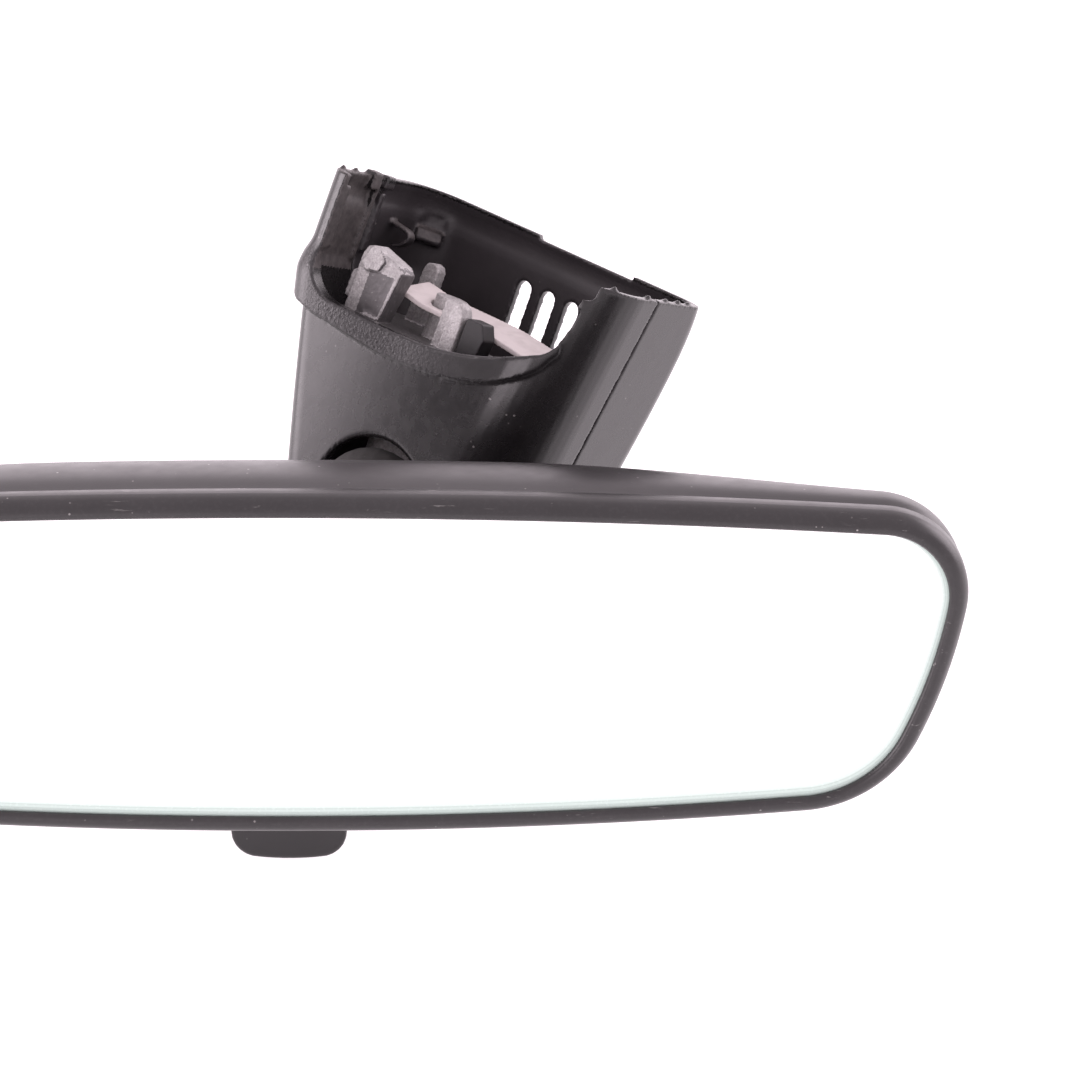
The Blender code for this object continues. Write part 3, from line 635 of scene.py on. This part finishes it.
def ring(inset, depth, flatten=1.0, bowed=False):
    """The outline as row-frame points at one depth, which may follow the height.

    The case's rings are bowed: its back comes forward towards the ends. A cap ring is flattened
    in height and shortened with it, so that the rings never pile up at the ends.
    """
    reach = depth if callable(depth) else lambda z: depth
    middle = HEAD_TOP - HEIGHT / 2
    points = []
    for x, z, _ in outline(inset):
        y = reach(z)
        if bowed:
            x *= 1.0 - CAP_SHORTENING * (1.0 - flatten)
            bow = 1.0 - BACK_BOW * smoothstep(BOW_START, BOW_END, abs(x))
            y = SEAM + GAP + (y - SEAM - GAP) * bow
        points.append(head(x, y, middle + (z - middle) * flatten))
    return points


def glass_back(z):
    return GLASS_THIN + (GLASS_THICK - GLASS_THIN) * (z - HEAD_TOP + HEIGHT) / HEIGHT


def eased(knots, steps=4):
    """A section of (inset, depth) smoothed through its knots."""
    return [(p.x, p.y) for p in through([(a, b, 0.0) for a, b in knots], steps)]


# ---------------------------------------------------------------- head pieces


def make_bezel(finish):
    front = eased([
        (0.0, 2.6), (0.03, 1.7), (0.35, 0.4), (1.2, -0.9), (2.3, -1.5), (3.1, -1.35), (3.5, -0.9),
    ])
    section = [(0.25, SEAM), (0.08, SEAM - 0.08), (0.0, SEAM - 0.3), *front]
    section += [(LIP_INSET, -0.6), (LIP_INSET, -GAP), (GLASS_INSET - GAP, -GAP), (GLASS_INSET - GAP, SEAM)]
    mesh = closed_mesh("bezel_ring", *loft([ring(*s) for s in section], True))
    show("bezel_ring", mesh, "head", finish, ["front_bezel"], 40.0)


def border_width(heading):
    """Visible width of the glass's ground border: wide below, narrow at the sides, a line on top."""
    down = max(0.0, -math.cos(heading))
    side = abs(math.sin(heading))
    return 0.25 + 1.15 * side * side + 2.3 * down * down


def make_glass(silver, border):
    """Wedge of glass: a flat silvered front and a border ground a little below it."""
    shares = (1.0, 0.86, 0.7, 0.5, 0.3, 0.15, 0.0)
    rings = []
    for share in shares:
        inset = lambda heading, k=share: LIP_INSET - 0.3 + (border_width(heading) + 0.3) * k
        rings.append((inset, 0.10 * (1.0 - share)))
    front = [ring(LIP_INSET + 8.0, 0.0), *[ring(*r) for r in rings]]
    sides = [ring(GLASS_INSET, 0.15), ring(GLASS_INSET, glass_back)]
    points, faces = loft(front + sides, ladder=True)
    mesh = closed_mesh("mirror_plate", points, faces)
    count = len(front[0])
    share_of = [1.0, *shares, 0.0, 0.0]
    border_layer = mesh.attributes.new("border", "FLOAT", "POINT")
    border_layer.data.foreach_set("value", [share_of[i // count] for i in range(len(mesh.vertices))])
    show("mirror_plate", mesh, "head", [silver, border], ["mirror_glass"], 30.0)
    for face in mesh.polygons:
        rows = [v // count for v in face.vertices]
        if min(rows) >= 1 and max(rows) >= 2:
            face.material_index = 1


def make_case(finish):
    """Tub behind the bezel, with the ball joint's mouth and the lever's slot."""
    outer = eased([
        (CASE_EDGE, 5.3), (0.25, 10.5), (0.45, 16.5), (1.1, 20.5), (2.3, 24.0), (4.2, 27.8), (6.8, 31.0),
        (10.0, 33.4), (13.5, 34.5),
    ])
    inner = eased([
        (14.8, 32.4), (11.2, 31.3), (8.2, 29.2), (5.9, 26.4), (4.2, 22.8), (3.1, 19.0), (2.4, 15.6),
        (0.2 + CASE_WALL, 9.0),
    ], 3)
    rings = [ring(14.8, 33.0, 0.3, True), ring(14.8, 32.8, 0.7, True)]
    rings += [ring(*s, bowed=True) for s in inner]
    edge = SEAM + GAP
    rings += [ring(*s, bowed=True) for s in (
        (CASE_EDGE + CASE_WALL, edge), (CASE_EDGE + 0.3, edge), (CASE_EDGE + 0.1, edge + 0.06),
        (CASE_EDGE, edge + 0.25),
    )]
    rings += [ring(*s, bowed=True) for s in outer]
    rings += [ring(13.5, 34.85, 0.8, True), ring(13.5, 35.05, 0.55, True), ring(13.5, 35.1, 0.25, True)]
    tub = closed_mesh("rear_shell", *loft(rings, ladder=True))
    inward, flare = head(0.0, 28.0, BALL_Z), 0.7
    profile = [(0.0, 0.0), (MOUTH_RADIUS, 0.0), (MOUTH_RADIUS, 6.3), (MOUTH_RADIUS + 0.15, 6.8)]
    profile += [(MOUTH_RADIUS + flare, 7.15), (MOUTH_RADIUS + flare, 12.0), (0.0, 12.0)]
    mouth = turned(profile, inward, (0, 1, 0), 96)
    corner = 1.2
    slot = []
    for sx, sy, quarter in ((1, 1, 0), (-1, 1, 1), (-1, -1, 2), (1, -1, 3)):
        for k in range(6):
            a = math.radians(90.0 * quarter + 18.0 * k)
            slot.append((sx * (SLOT_HALF - corner) + corner * math.cos(a),
                         SLOT_MIDDLE + sy * (SLOT_HALF_DEPTH - corner) + corner * math.sin(a)))
    slot_cut = prism(slot, -38.0, -25.0, head)
    mesh = carved(tub, ("DIFFERENCE", mouth), ("DIFFERENCE", slot_cut))
    show("rear_shell", mesh, "head", finish, ["rear_case"], 62.0)


def make_lever(finish):
    """Tab under the head: the CAD lever with every edge eased and three shallow finger grooves."""
    low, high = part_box("toggle_lever")
    middle = (low.x + high.x) / 2
    grooves = []
    for k in range(3):
        z = low.z + (3.4 + 2.1 * k) * MM
        start = Vector((middle - 7.0 * MM, high.y + 0.18 * MM, z))
        end = Vector((middle + 7.0 * MM, high.y + 0.18 * MM, z))
        grooves.append(("DIFFERENCE", tube([start, (start + end) / 2, end], 0.45, 12)))
    mesh = softened(carved(cad_mesh("toggle_lever"), *grooves), 0.3, 4)
    straight = 5.5 * MM
    for vertex in mesh.vertices:
        share = min(1.0, abs(vertex.co.x - middle) / straight)
        low_part = smoothstep(low.z + 4.0 * MM, low.z + 0.5 * MM, vertex.co.z)
        vertex.co.z += 0.5 * MM * (share * share * 0.6 - share + 0.4) * low_part
    show("lever_tab", mesh, "lever", finish, ["toggle_lever"], 0.0)


# ---------------------------------------------------------------- mount cover


def near_bow(s):
    """How far the driver's face of the cover stands out of its flat plane: it is gently crowned."""
    fall, reach = (2.5, 36.0) if s < CROWN_AT else (0.7, 24.0)
    return CROWN_HEIGHT - fall * ((s - CROWN_AT) / reach) ** 2


def cover_ring(v, inset, height=None, steps=12, outward=None):
    """One ring of the cover's skin, in the row frame; outward(s, v) lets it stand proud of the wall."""
    lean_left = max(0.0, LEFT_LEAN_START - v) * LEFT_LEAN
    above = max(0.0, COVER_BOTTOM + inset + BOTTOM_ROUND - v) / BOTTOM_ROUND
    tuck = BOTTOM_ROUND * (1.0 - math.sqrt(max(0.0, 1.0 - min(above, 1.0) ** 2)))
    shrink = inset + tuck
    draft = COVER_DRAFT * v * v
    belly = FAR_BELLY * (1.0 - math.exp(min(v, 0.0) / 8.0))
    left, right = COVER_LEFT + lean_left + shrink, COVER_RIGHT + v * RIGHT_LEAN - shrink
    near, far = NEAR_DEPTH - draft - shrink, FAR_DEPTH + belly - draft - shrink
    corners = ((right, near, 0), (left, near, 1), (left, -far, 2), (right, -far, 3))
    points, normals = [], []
    for along, depth, quarter in corners:
        radius = max(CORNERS[quarter] - inset, 0.8)
        more = (1.0 - tuck / BOTTOM_ROUND) if quarter == 0 else 0.0
        wide, deep = radius + NEAR_RIGHT_MORE[0] * more, radius + NEAR_RIGHT_MORE[1] * more
        cx = along - math.copysign(wide, along)
        cy = depth - math.copysign(deep, depth)
        if quarter == 1:
            start = points[-1][0]
            for k in range(1, NEAR_STEPS):
                points.append((start + (cx - start) * k / NEAR_STEPS, depth))
                normals.append((0.0, 1.0))
        for k in range(steps + 1):
            a = math.radians(90.0 * quarter + 90.0 * k / steps)
            points.append((cx + wide * math.cos(a), cy + deep * math.sin(a)))
            size = math.hypot(math.cos(a) / wide, math.sin(a) / deep)
            normals.append((math.cos(a) / wide / size, math.sin(a) / deep / size))
    placed = []
    for (s, t), (ns, nt) in zip(points, normals):
        bow = near_bow(s) * max(0.0, t) / NEAR_DEPTH
        grow = outward(s, v) if outward else 0.0
        placed.append(cover(s + ns * grow, t + bow + nt * grow, v if height is None else height))
    return placed


def cover_levels(low):
    """Heights of the cover's rings, from the rim down to the rounded bottom."""
    walls = [-1.2 * k for k in range(1, 16)] + [-20.0 - 3.1 * k for k in range(12)]
    return walls + [low + BOTTOM_ROUND * (1.0 - math.sin(math.radians(a))) for a in range(0, 88, 6)]


def scoop_outline():
    """Edge of the opening in the near half, with the snap notch in its steep right side."""
    high = 12.0
    edge = [(-31.2, high), (-31.6, -12.0), (-31.8, -15.0)]
    for k in range(1, 13):
        a = math.radians(180.0 + 84.0 * k / 12)
        edge.append((-23.4 + 8.4 * math.cos(a), -15.0 + 8.3 * math.sin(a)))
    low = [(-21.0, -23.25), (-14.0, -23.5), (-7.0, -23.3), (-1.0, -23.0), (5.0, -22.0), (10.0, -20.7),
           (15.0, -18.9), (20.0, -16.6), (22.4, -15.2), (23.7, -13.4), (24.5, -10.4)]
    edge += [(p.x, p.y) for p in through([(s, v, 0.0) for s, v in low], 4)]
    edge += [(25.6, -5.6), (24.8, -5.3), (25.3, -3.3), (26.6, -3.1), (27.5, 1.0), (27.5, high)]
    return edge


def across(outline_sv, near, far):
    """A prism through the cover's depth, from t = near to t = far."""
    return prism(outline_sv, near, far, lambda s, v, t: cover(s, t, v))


def proud(s, v):
    """How far the scoop's lip stands out of the wall: most round the left end, where it swells."""
    rise = max(smoothstep(-13.5, -21.0, v), smoothstep(-24.0, -12.0, s))
    return (0.45 + 1.55 * smoothstep(-4.0, -32.0, s)) * rise


def lip_band():
    """Raised lip that follows the scoop, widest and proudest at the cover's left end."""
    rings = [cover_ring(-9.0 - 0.8 * k, 0.0, outward=proud) for k in range(30)]
    band = closed_mesh("band", *loft(rings))
    edge = [(s, v) for s, v in scoop_outline() if v < -11.0 and s < 24.4]
    upper = [(-42.0, edge[0][1]), *edge]
    lower = [(24.6, -14.6), (21.0, -20.0), (12.4, -25.2), (1.5, -27.4), (-10.2, -28.1), (-22.9, -27.1),
             (-30.4, -26.3), (-42.0, -24.2)]
    lower = [(p.x, p.y) for p in through([(s, v, 0.0) for s, v in lower], 5)]
    return carved(band, ("INTERSECT", across(upper + lower, 0.4, 30.0)))


def cover_skin():
    return closed_mesh("skin", *loft([cover_ring(v, 0.0) for v in [0.0, *cover_levels(COVER_BOTTOM)]]))


def cover_hollow():
    """The space inside the cover, a little wider in a rebate under the rim."""
    rings = [cover_ring(0.0, COVER_WALL, 6.0), cover_ring(0.0, COVER_WALL)]
    for v in cover_levels(COVER_BOTTOM + COVER_WALL):
        rebate = 0.75 * smoothstep(0.0, -3.2, v) * smoothstep(-7.0, -4.2, v)
        rings.append(cover_ring(v, COVER_WALL - rebate))
    return closed_mesh("hollow", *loft(rings))


def half_space(near, far):
    """A block wider than the cover, from t = near to t = far."""
    return brick((-BEYOND, -BEYOND, near), (BEYOND, BEYOND, far), lambda s, v, t: cover(s, t, v))


def make_driver_half(finish, lip_finish, inner_finish):
    """Driver's half of the cover, with its scoop, lip, arm hole, rim studs and inner ribs."""
    along, down, radius = ARM_HOLE
    profile = [(0.0, -40.0), (radius + 1.2, -40.0), (radius + 1.2, -18.2), (radius, -17.0)]
    profile += [(radius, -3.0), (0.0, -3.0)]
    hole = turned(profile, cover(along, 0.0, down), MOUNT_TURN @ Vector((0, 1, 0)), 72)
    scoop = across(scoop_outline(), 4.0, 40.0)
    near = carved(
        cover_skin(), ("DIFFERENCE", cover_hollow()), ("DIFFERENCE", half_space(-BEYOND, GAP / 2)),
        ("DIFFERENCE", hole), ("DIFFERENCE", scoop),
    )
    lip = carved(lip_band(), ("DIFFERENCE", cover_hollow()))
    extras = [
        nub(28.6, 12.0, 0.2), nub(COVER_RIGHT - 1.0, 3.0, 0.2),
        nub(COVER_LEFT + 1.0, 12.6, 0.2), nub(COVER_LEFT + 1.0, 8.2, 0.2),
        cover_brick((COVER_LEFT + 0.5, 1.2, -2.6), (COVER_LEFT + 3.2, 4.2, 0.9)),
        cover_brick((COVER_LEFT + 1.6, 0.6, -17.0), (COVER_LEFT + 2.8, 1.8, -1.0)),
        cover_brick((COVER_LEFT + 4.2, 13.4, -15.0), (COVER_LEFT + 4.9, 16.6, -2.2)),
    ]
    near = softened(joined(near, lip, *extras), COVER_CELL, 4)
    finishes = [finish, lip_finish, inner_finish]
    piece = show("cover_driver_side", near, "mount", finishes, ["cover_rear"], 0.0)
    paint_lip(piece)


def vent_slot(number):
    """Cutter for one upright slot with round ends."""
    half = SLOT_WIDTH / 2
    middle = FIRST_SLOT + SLOT_PITCH * number
    edge = []
    for centre, start in ((SLOT_TOP - half, 0), (SLOT_TOP - SLOT_LENGTH + half, 180)):
        for k in range(13):
            a = math.radians(start + 180.0 * k / 12)
            edge.append((middle + half * math.cos(a), centre + half * math.sin(a)))
    return across(edge, -8.0, -40.0)


def on_corner(a, b, c):
    """Along the far left corner's inner face, out of it into the cover, and up."""
    along_s, along_t = math.cos(CORNER_TURN), -math.sin(CORNER_TURN)
    return cover(-31.0 + along_s * a - along_t * b, -18.0 + along_t * a + along_s * b, c)


def make_windscreen_half(finish, inner_finish, bare_finish):
    """Windscreen half of the cover, with its vent slots, the dip in its rim, a snap pad and a hook."""
    pocket_edge = [(-3.4, 0.2), (-2.4, -0.8), (-1.0, -1.4), (1.2, -1.4), (2.6, -0.8), (3.6, 0.2)]
    pocket = prism([*pocket_edge, (3.6, 2.4), (-3.4, 2.4)], -7.6, -5.0, on_corner)
    pad = prism([(-1.6, -8.0), (-1.6, -11.0), (0.9, -10.7), (1.3, -9.9), (0.3, -8.1)], -2.6, 2.7,
                lambda b, c, a: on_corner(a, b, c))
    dip = across([(-8.8, 9.0), (-7.6, -0.9), (14.9, -0.9), (15.7, 9.0)], -10.0, -34.0)
    far = carved(
        cover_skin(), ("DIFFERENCE", cover_hollow()), ("DIFFERENCE", half_space(-GAP / 2, BEYOND)),
        *[("DIFFERENCE", vent_slot(i)) for i in range(SLOT_COUNT)],
        ("DIFFERENCE", pocket), ("DIFFERENCE", dip),
    )
    extras = [nub(COVER_RIGHT - 1.0, t, 0.0) for t in (-4.0, -9.0, -13.0)]
    extras += [
        pad, hook_rib(),
        cover_brick((COVER_LEFT + 0.8, -4.0, -2.2), (COVER_LEFT + 3.0, -1.0, 0.5)),
        cover_brick((COVER_LEFT + 1.6, -2.2, -15.0), (COVER_LEFT + 2.9, -0.9, -3.0)),
    ]
    far = softened(joined(far, *extras), COVER_CELL, 4)
    finishes = [finish, inner_finish, bare_finish]
    piece = show("cover_windscreen_side", far, "mount", finishes, ["cover_front"], 0.0)
    paint_inside(piece)


def paint_inside(piece):
    """Gives the paler dusty finish to the top of the snap pad, as dust and as painted light on its upward
    faces, and the bare plastic to the rest of the inner face.
    """
    to_mount = MOUNT_TURN.transposed()
    for face in piece.data.polygons:
        p = to_mount @ face.center / MM
        n = to_mount @ face.normal
        s, v = p.x - COVER_X, p.z - RIM_Z
        on_pad = s < -24.0 and -11.5 < v < -7.5 and n.z > 0.15 and n.x - n.y > -0.1
        # The pad's upward faces are paler: dust, and painted light on its top.
        if on_pad:
            face.material_index = 1
        elif v < -0.8 and (n.y < -0.3 or (n.x > 0.3 and s < -20.0)):
            face.material_index = 2


def hook_rib():
    """Thin hooked rib on the cover's left wall."""
    knots = [(-35.2, -8.0), (-33.2, -8.5), (-31.4, -8.7), (-29.8, -9.1), (-29.2, -10.0), (-29.7, -11.1),
             (-31.2, -12.2), (-32.6, -12.6)]
    path = through([(s, v, 0.0) for s, v in knots], 4)
    half = 0.38
    left, right = [], []
    for i, p in enumerate(path):
        along = (path[min(i + 1, len(path) - 1)] - path[max(i - 1, 0)]).normalized()
        left.append((p.x - along.y * half, p.y + along.x * half))
        right.append((p.x + along.y * half, p.y - along.x * half))
    return across(left + right[::-1], -10.5, -8.0)


def nub(s, t, v):
    """Small round stud on the rim."""
    profile = [(0.0, -1.0), (0.55, -1.0), (0.55, 0.25), (0.4, 0.55), (0.0, 0.7)]
    return turned(profile, cover(s, t, v), MOUNT_TURN @ Vector((0, 0, 1)), 14)


def cover_brick(low, high):
    (s0, t0, v0), (s1, t1, v1) = low, high
    return brick((s0, v0, t0), (s1, v1, t1), lambda s, v, t: cover(s, t, v))


def paint_lip(piece):
    """Gives the coarse grain to the faces of the lip, fading towards its right end."""
    to_mount = MOUNT_TURN.transposed()
    fade = piece.data.attributes.new("grain", "FLOAT", "POINT")
    for vertex, value in zip(piece.data.vertices, fade.data):
        value.value = smoothstep(14.0, -10.0, (to_mount @ vertex.co).x / MM - COVER_X)
    for face in piece.data.polygons:
        p = to_mount @ face.center / MM
        n = to_mount @ face.normal
        s, t, v = p.x - COVER_X, -p.y, p.z - RIM_Z
        low_edge = -28.2 + 0.010 * (s + 8.0) ** 2 * (0.9 if s > -8.0 else 0.28)
        outside = -n.y > 0.25 or n.x < -0.35
        if s < COVER_LEFT + 7.0 and v > -19.0 and (n.x > 0.3 or n.z > 0.7):
            face.material_index = 2
        if outside and t > 1.0 and low_edge < v < -14.0 and s < 15.0:
            wall = NEAR_DEPTH - COVER_DRAFT * v * v + near_bow(s)
            end = COVER_LEFT + max(0.0, LEFT_LEAN_START - v) * LEFT_LEAN
            if t > wall - 0.2 + proud(s, v) * 0.5 or s < end - 0.3:
                face.material_index = 1


# ---------------------------------------------------------------- foot, arm and joint


def make_foot(cast, trimmed_shaded, leaf, block):
    """Foot casting with its burrs and trimmed faces in painted shade, the bent spring leaf and the damper.
    """
    burr = tube([mount(-5.9, -11.15, 1.9), mount(-6.8, -11.15, -4.0), mount(-7.5, -11.15, -9.0)], 0.42, 8)
    flange = brick((-11.0, -12.3, -9.4), (-7.4, -10.9, -8.0), mount)
    boss_edge = [(-15.0, 1.0), (-13.6, 4.6), (-11.4, 4.3), (-9.8, 2.6), (-10.6, 0.4), (-13.4, -0.4)]
    boss = prism(boss_edge, -12.0, -10.0, lambda a, b, c: mount(a, c, b))
    cast_shape = joined(cad_mesh("foot_casting"), burr, flange, boss)
    foot = softened(cast_shape, 0.26, 3, roughness=0.10, grain=0.7)
    show("cast_foot", foot, "mount", [cast, trimmed_shaded], ["foot_casting"], 0.0)
    to_mount = MOUNT_TURN.transposed()
    for face in foot.polygons:
        p = to_mount @ face.center / MM
        n = to_mount @ face.normal
        on_knob = p.y < -5.6 and -12.7 < p.x < -5.0 and p.z > -8.6
        driver_side = n.y < -0.75 and p.y < -11.0 and p.z < 0.3 and p.x < -6.6 - 0.1 * (2.0 - p.z)
        right_side = n.x > 0.7
        in_well = BASE_FLOOR - 0.4 < p.z < BASE_FLOOR + 0.5 and n.z > 0.6
        # Painted shade and painted dark reflection: the knob's faces toward the driver and to its right,
        # and the floor of the well, take the darker trimmed finish.
        if (on_knob and (driver_side or right_side)) or in_well:
            face.material_index = 1
    plate = softened(cad_mesh("retaining_spring"), 0.2, 3)
    for vertex in plate.vertices:
        p = to_mount @ vertex.co / MM
        lift = 0.9 * smoothstep(-2.0, -9.4, p.x) - 1.3 * smoothstep(12.0, 27.0, p.x)
        vertex.co = mount(p.x, p.y, p.z + 0.2 * p.y + lift - 0.3)
    show("spring_leaf", plate, "mount", leaf, ["retaining_spring"], 0.0)
    damper = softened(cad_mesh("damper_block"), 0.2, 2)
    show("damper", damper, "mount", block, ["damper_block"], 0.0)


def make_arm(cast, boot):
    arm = softened(cad_mesh("mount_arm"), 0.4, 5, roughness=0.05, grain=0.9)
    show("cast_arm", arm, "mount", cast, ["mount_arm"], 0.0)
    dome = softened(cad_mesh("arm_boot"), 0.3, 3, roughness=0.05, grain=0.5)
    show("boot_dome", dome, "mount", boot, ["arm_boot"], 0.0)


# ---------------------------------------------------------------- stage


def stage_panel(name, corners, finish):
    """A flat panel of the set: part of the stage, not of the object."""
    mesh = bpy.data.meshes.new(name)
    mesh.from_pydata(corners, [], [(0, 1, 2, 3)])
    mesh.materials.append(finish)
    panel = bpy.data.objects.new(name, mesh)
    bpy.context.collection.objects.link(panel)
    return panel


def make_stage():
    """Pale floor, soft light from four sides, a dark card for contrast, and the camera."""
    low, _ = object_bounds()
    reach, level = 8.0, low.z - 0.0005
    world = bpy.data.worlds.new("studio")
    bpy.context.scene.world = world
    world.use_nodes = True
    sky = world.node_tree.nodes["Background"]
    sky.inputs["Color"].default_value = (1.0, 0.89, 0.95, 1.0)
    sky.inputs["Strength"].default_value = 1.25

    paper = Finish("white_sweep", (0.5, 0.5, 0.5), 0.9)
    paper.shader.inputs["Emission Color"].default_value = (1.0, 0.92, 0.965, 1.0)
    paper.shader.inputs["Emission Strength"].default_value = 0.95
    paper.shader.inputs["Specular IOR Level"].default_value = 0.0
    ends = ((-reach, -reach), (reach, -reach), (reach, reach), (-reach, reach))
    stage_panel("floor", [(x, y, level) for x, y in ends], paper.made)

    across_card = Vector((CARD_MIDDLE.y, -CARD_MIDDLE.x, 0.0)).normalized() * CARD_HALF_WIDTH
    first, last = CARD_MIDDLE - across_card, CARD_MIDDLE + across_card
    foot = level + 0.02
    corners = [(first.x, first.y, foot), (last.x, last.y, foot)]
    corners += [(last.x, last.y, CARD_TOP), (first.x, first.y, CARD_TOP)]
    card = stage_panel("dark_card", corners, Finish("dark_felt", (0.01, 0.01, 0.01), 0.95).made)
    card.visible_camera = False
    card.visible_shadow = False

    for name, place, wide, tall, power in SOFTBOXES:
        lamp = bpy.data.lights.new(name, "AREA")
        lamp.shape = "RECTANGLE"
        lamp.size = wide
        lamp.size_y = tall
        lamp.energy = power
        lamp.color = STUDIO_TINT
        light = bpy.data.objects.new(name, lamp)
        bpy.context.collection.objects.link(light)
        light.location = place
        light.rotation_euler = (-Vector(place)).to_track_quat("-Z", "Y").to_euler()

    lens = bpy.data.cameras.new("camera")
    lens.lens = LENS
    lens.sensor_width = 36.0
    lens.clip_start = 0.01
    lens.clip_end = 50.0
    camera = bpy.data.objects.new("camera", lens)
    bpy.context.collection.objects.link(camera)
    camera.location = HEAD + CAMERA_PLACE * MM
    camera.rotation_euler = (math.radians(90.0 - CAMERA_DOWN_DEG), 0.0, 0.0)
    bpy.context.scene.camera = camera
    bpy.context.scene.view_settings.view_transform = "Standard"


def main():
    bezel = bezel_plastic()
    case = moulded_plastic("case_plastic", (0.012, 0.0105, 0.0115), 0.33, 0.25, 0.008, 0.55).made
    cover_finish = moulded_plastic("cover_plastic", COVER_BLACK, 0.27, 0.3, 0.010, 0.35).made
    black = moulded_plastic("black_plastic", (0.013, 0.0115, 0.0125), 0.36, 0.25, 0.008, 0.3).made
    lip = grained_plastic()
    cast = cast_metal()
    steel = steel_finish("bright_steel", (0.62, 0.61, 0.60), 0.28, (0.15, 1.0, 1.0))
    spring = steel_finish("spring_steel", (0.55, 0.54, 0.53), 0.3, (1.0, 1.0, 0.15))
    leaf = coated_leaf()
    boot = rubber_finish("boot_rubber", (0.022, 0.021, 0.020), 0.4, 0.05)
    bumper = rubber_finish("bumper_rubber", (0.03, 0.03, 0.03), 0.3, 0.02)
    nylon = nylon_finish("nylon", (0.055, 0.055, 0.057))
    pale_nylon = nylon_finish("liner_nylon", (0.42, 0.41, 0.38))
    block = nylon_finish("damper_nylon", (0.011, 0.010, 0.011))

    make_bezel(bezel)
    make_glass(mirror_finish(), ground_glass())
    make_case(case)
    make_lever(black)
    bare = moulded_plastic("inner_plastic", (0.024, 0.021, 0.023), 0.42, 0.3, 0.012, 0.4).made
    dusty = dusty_plastic()
    make_driver_half(cover_finish, lip, dusty)
    make_windscreen_half(cover_finish, dusty, bare)
    make_foot(cast, trimmed_metal_painted_shade(), leaf, block)
    make_arm(cast, boot)

    dress("mirror_pad", foam_finish(), 0.3)
    dress("glass_carrier", nylon, 0.2)
    dress("hinge_pin", steel, 0.2)
    dress("lever_pin", steel, 0.2)
    dress("detent_spring", spring, 0.05)
    dress("ball_liner", pale_nylon, 0.15)
    dress("ball_sleeve", nylon, 0.15)
    dress("ball_stud", steel, 0.3)
    dress("socket_cup", cast, 0.2)
    dress("socket_clamp", steel, 0.2)
    dress("pivot_bracket", steel, 0.3)
    dress("arm_pin", steel, 0.2)
    for side in ("left", "right"):
        dress(f"clamp_screw_{side}", steel, 0.15)
        dress(f"bracket_bumper_{side}", bumper, 0.2)

    make_stage()


main()
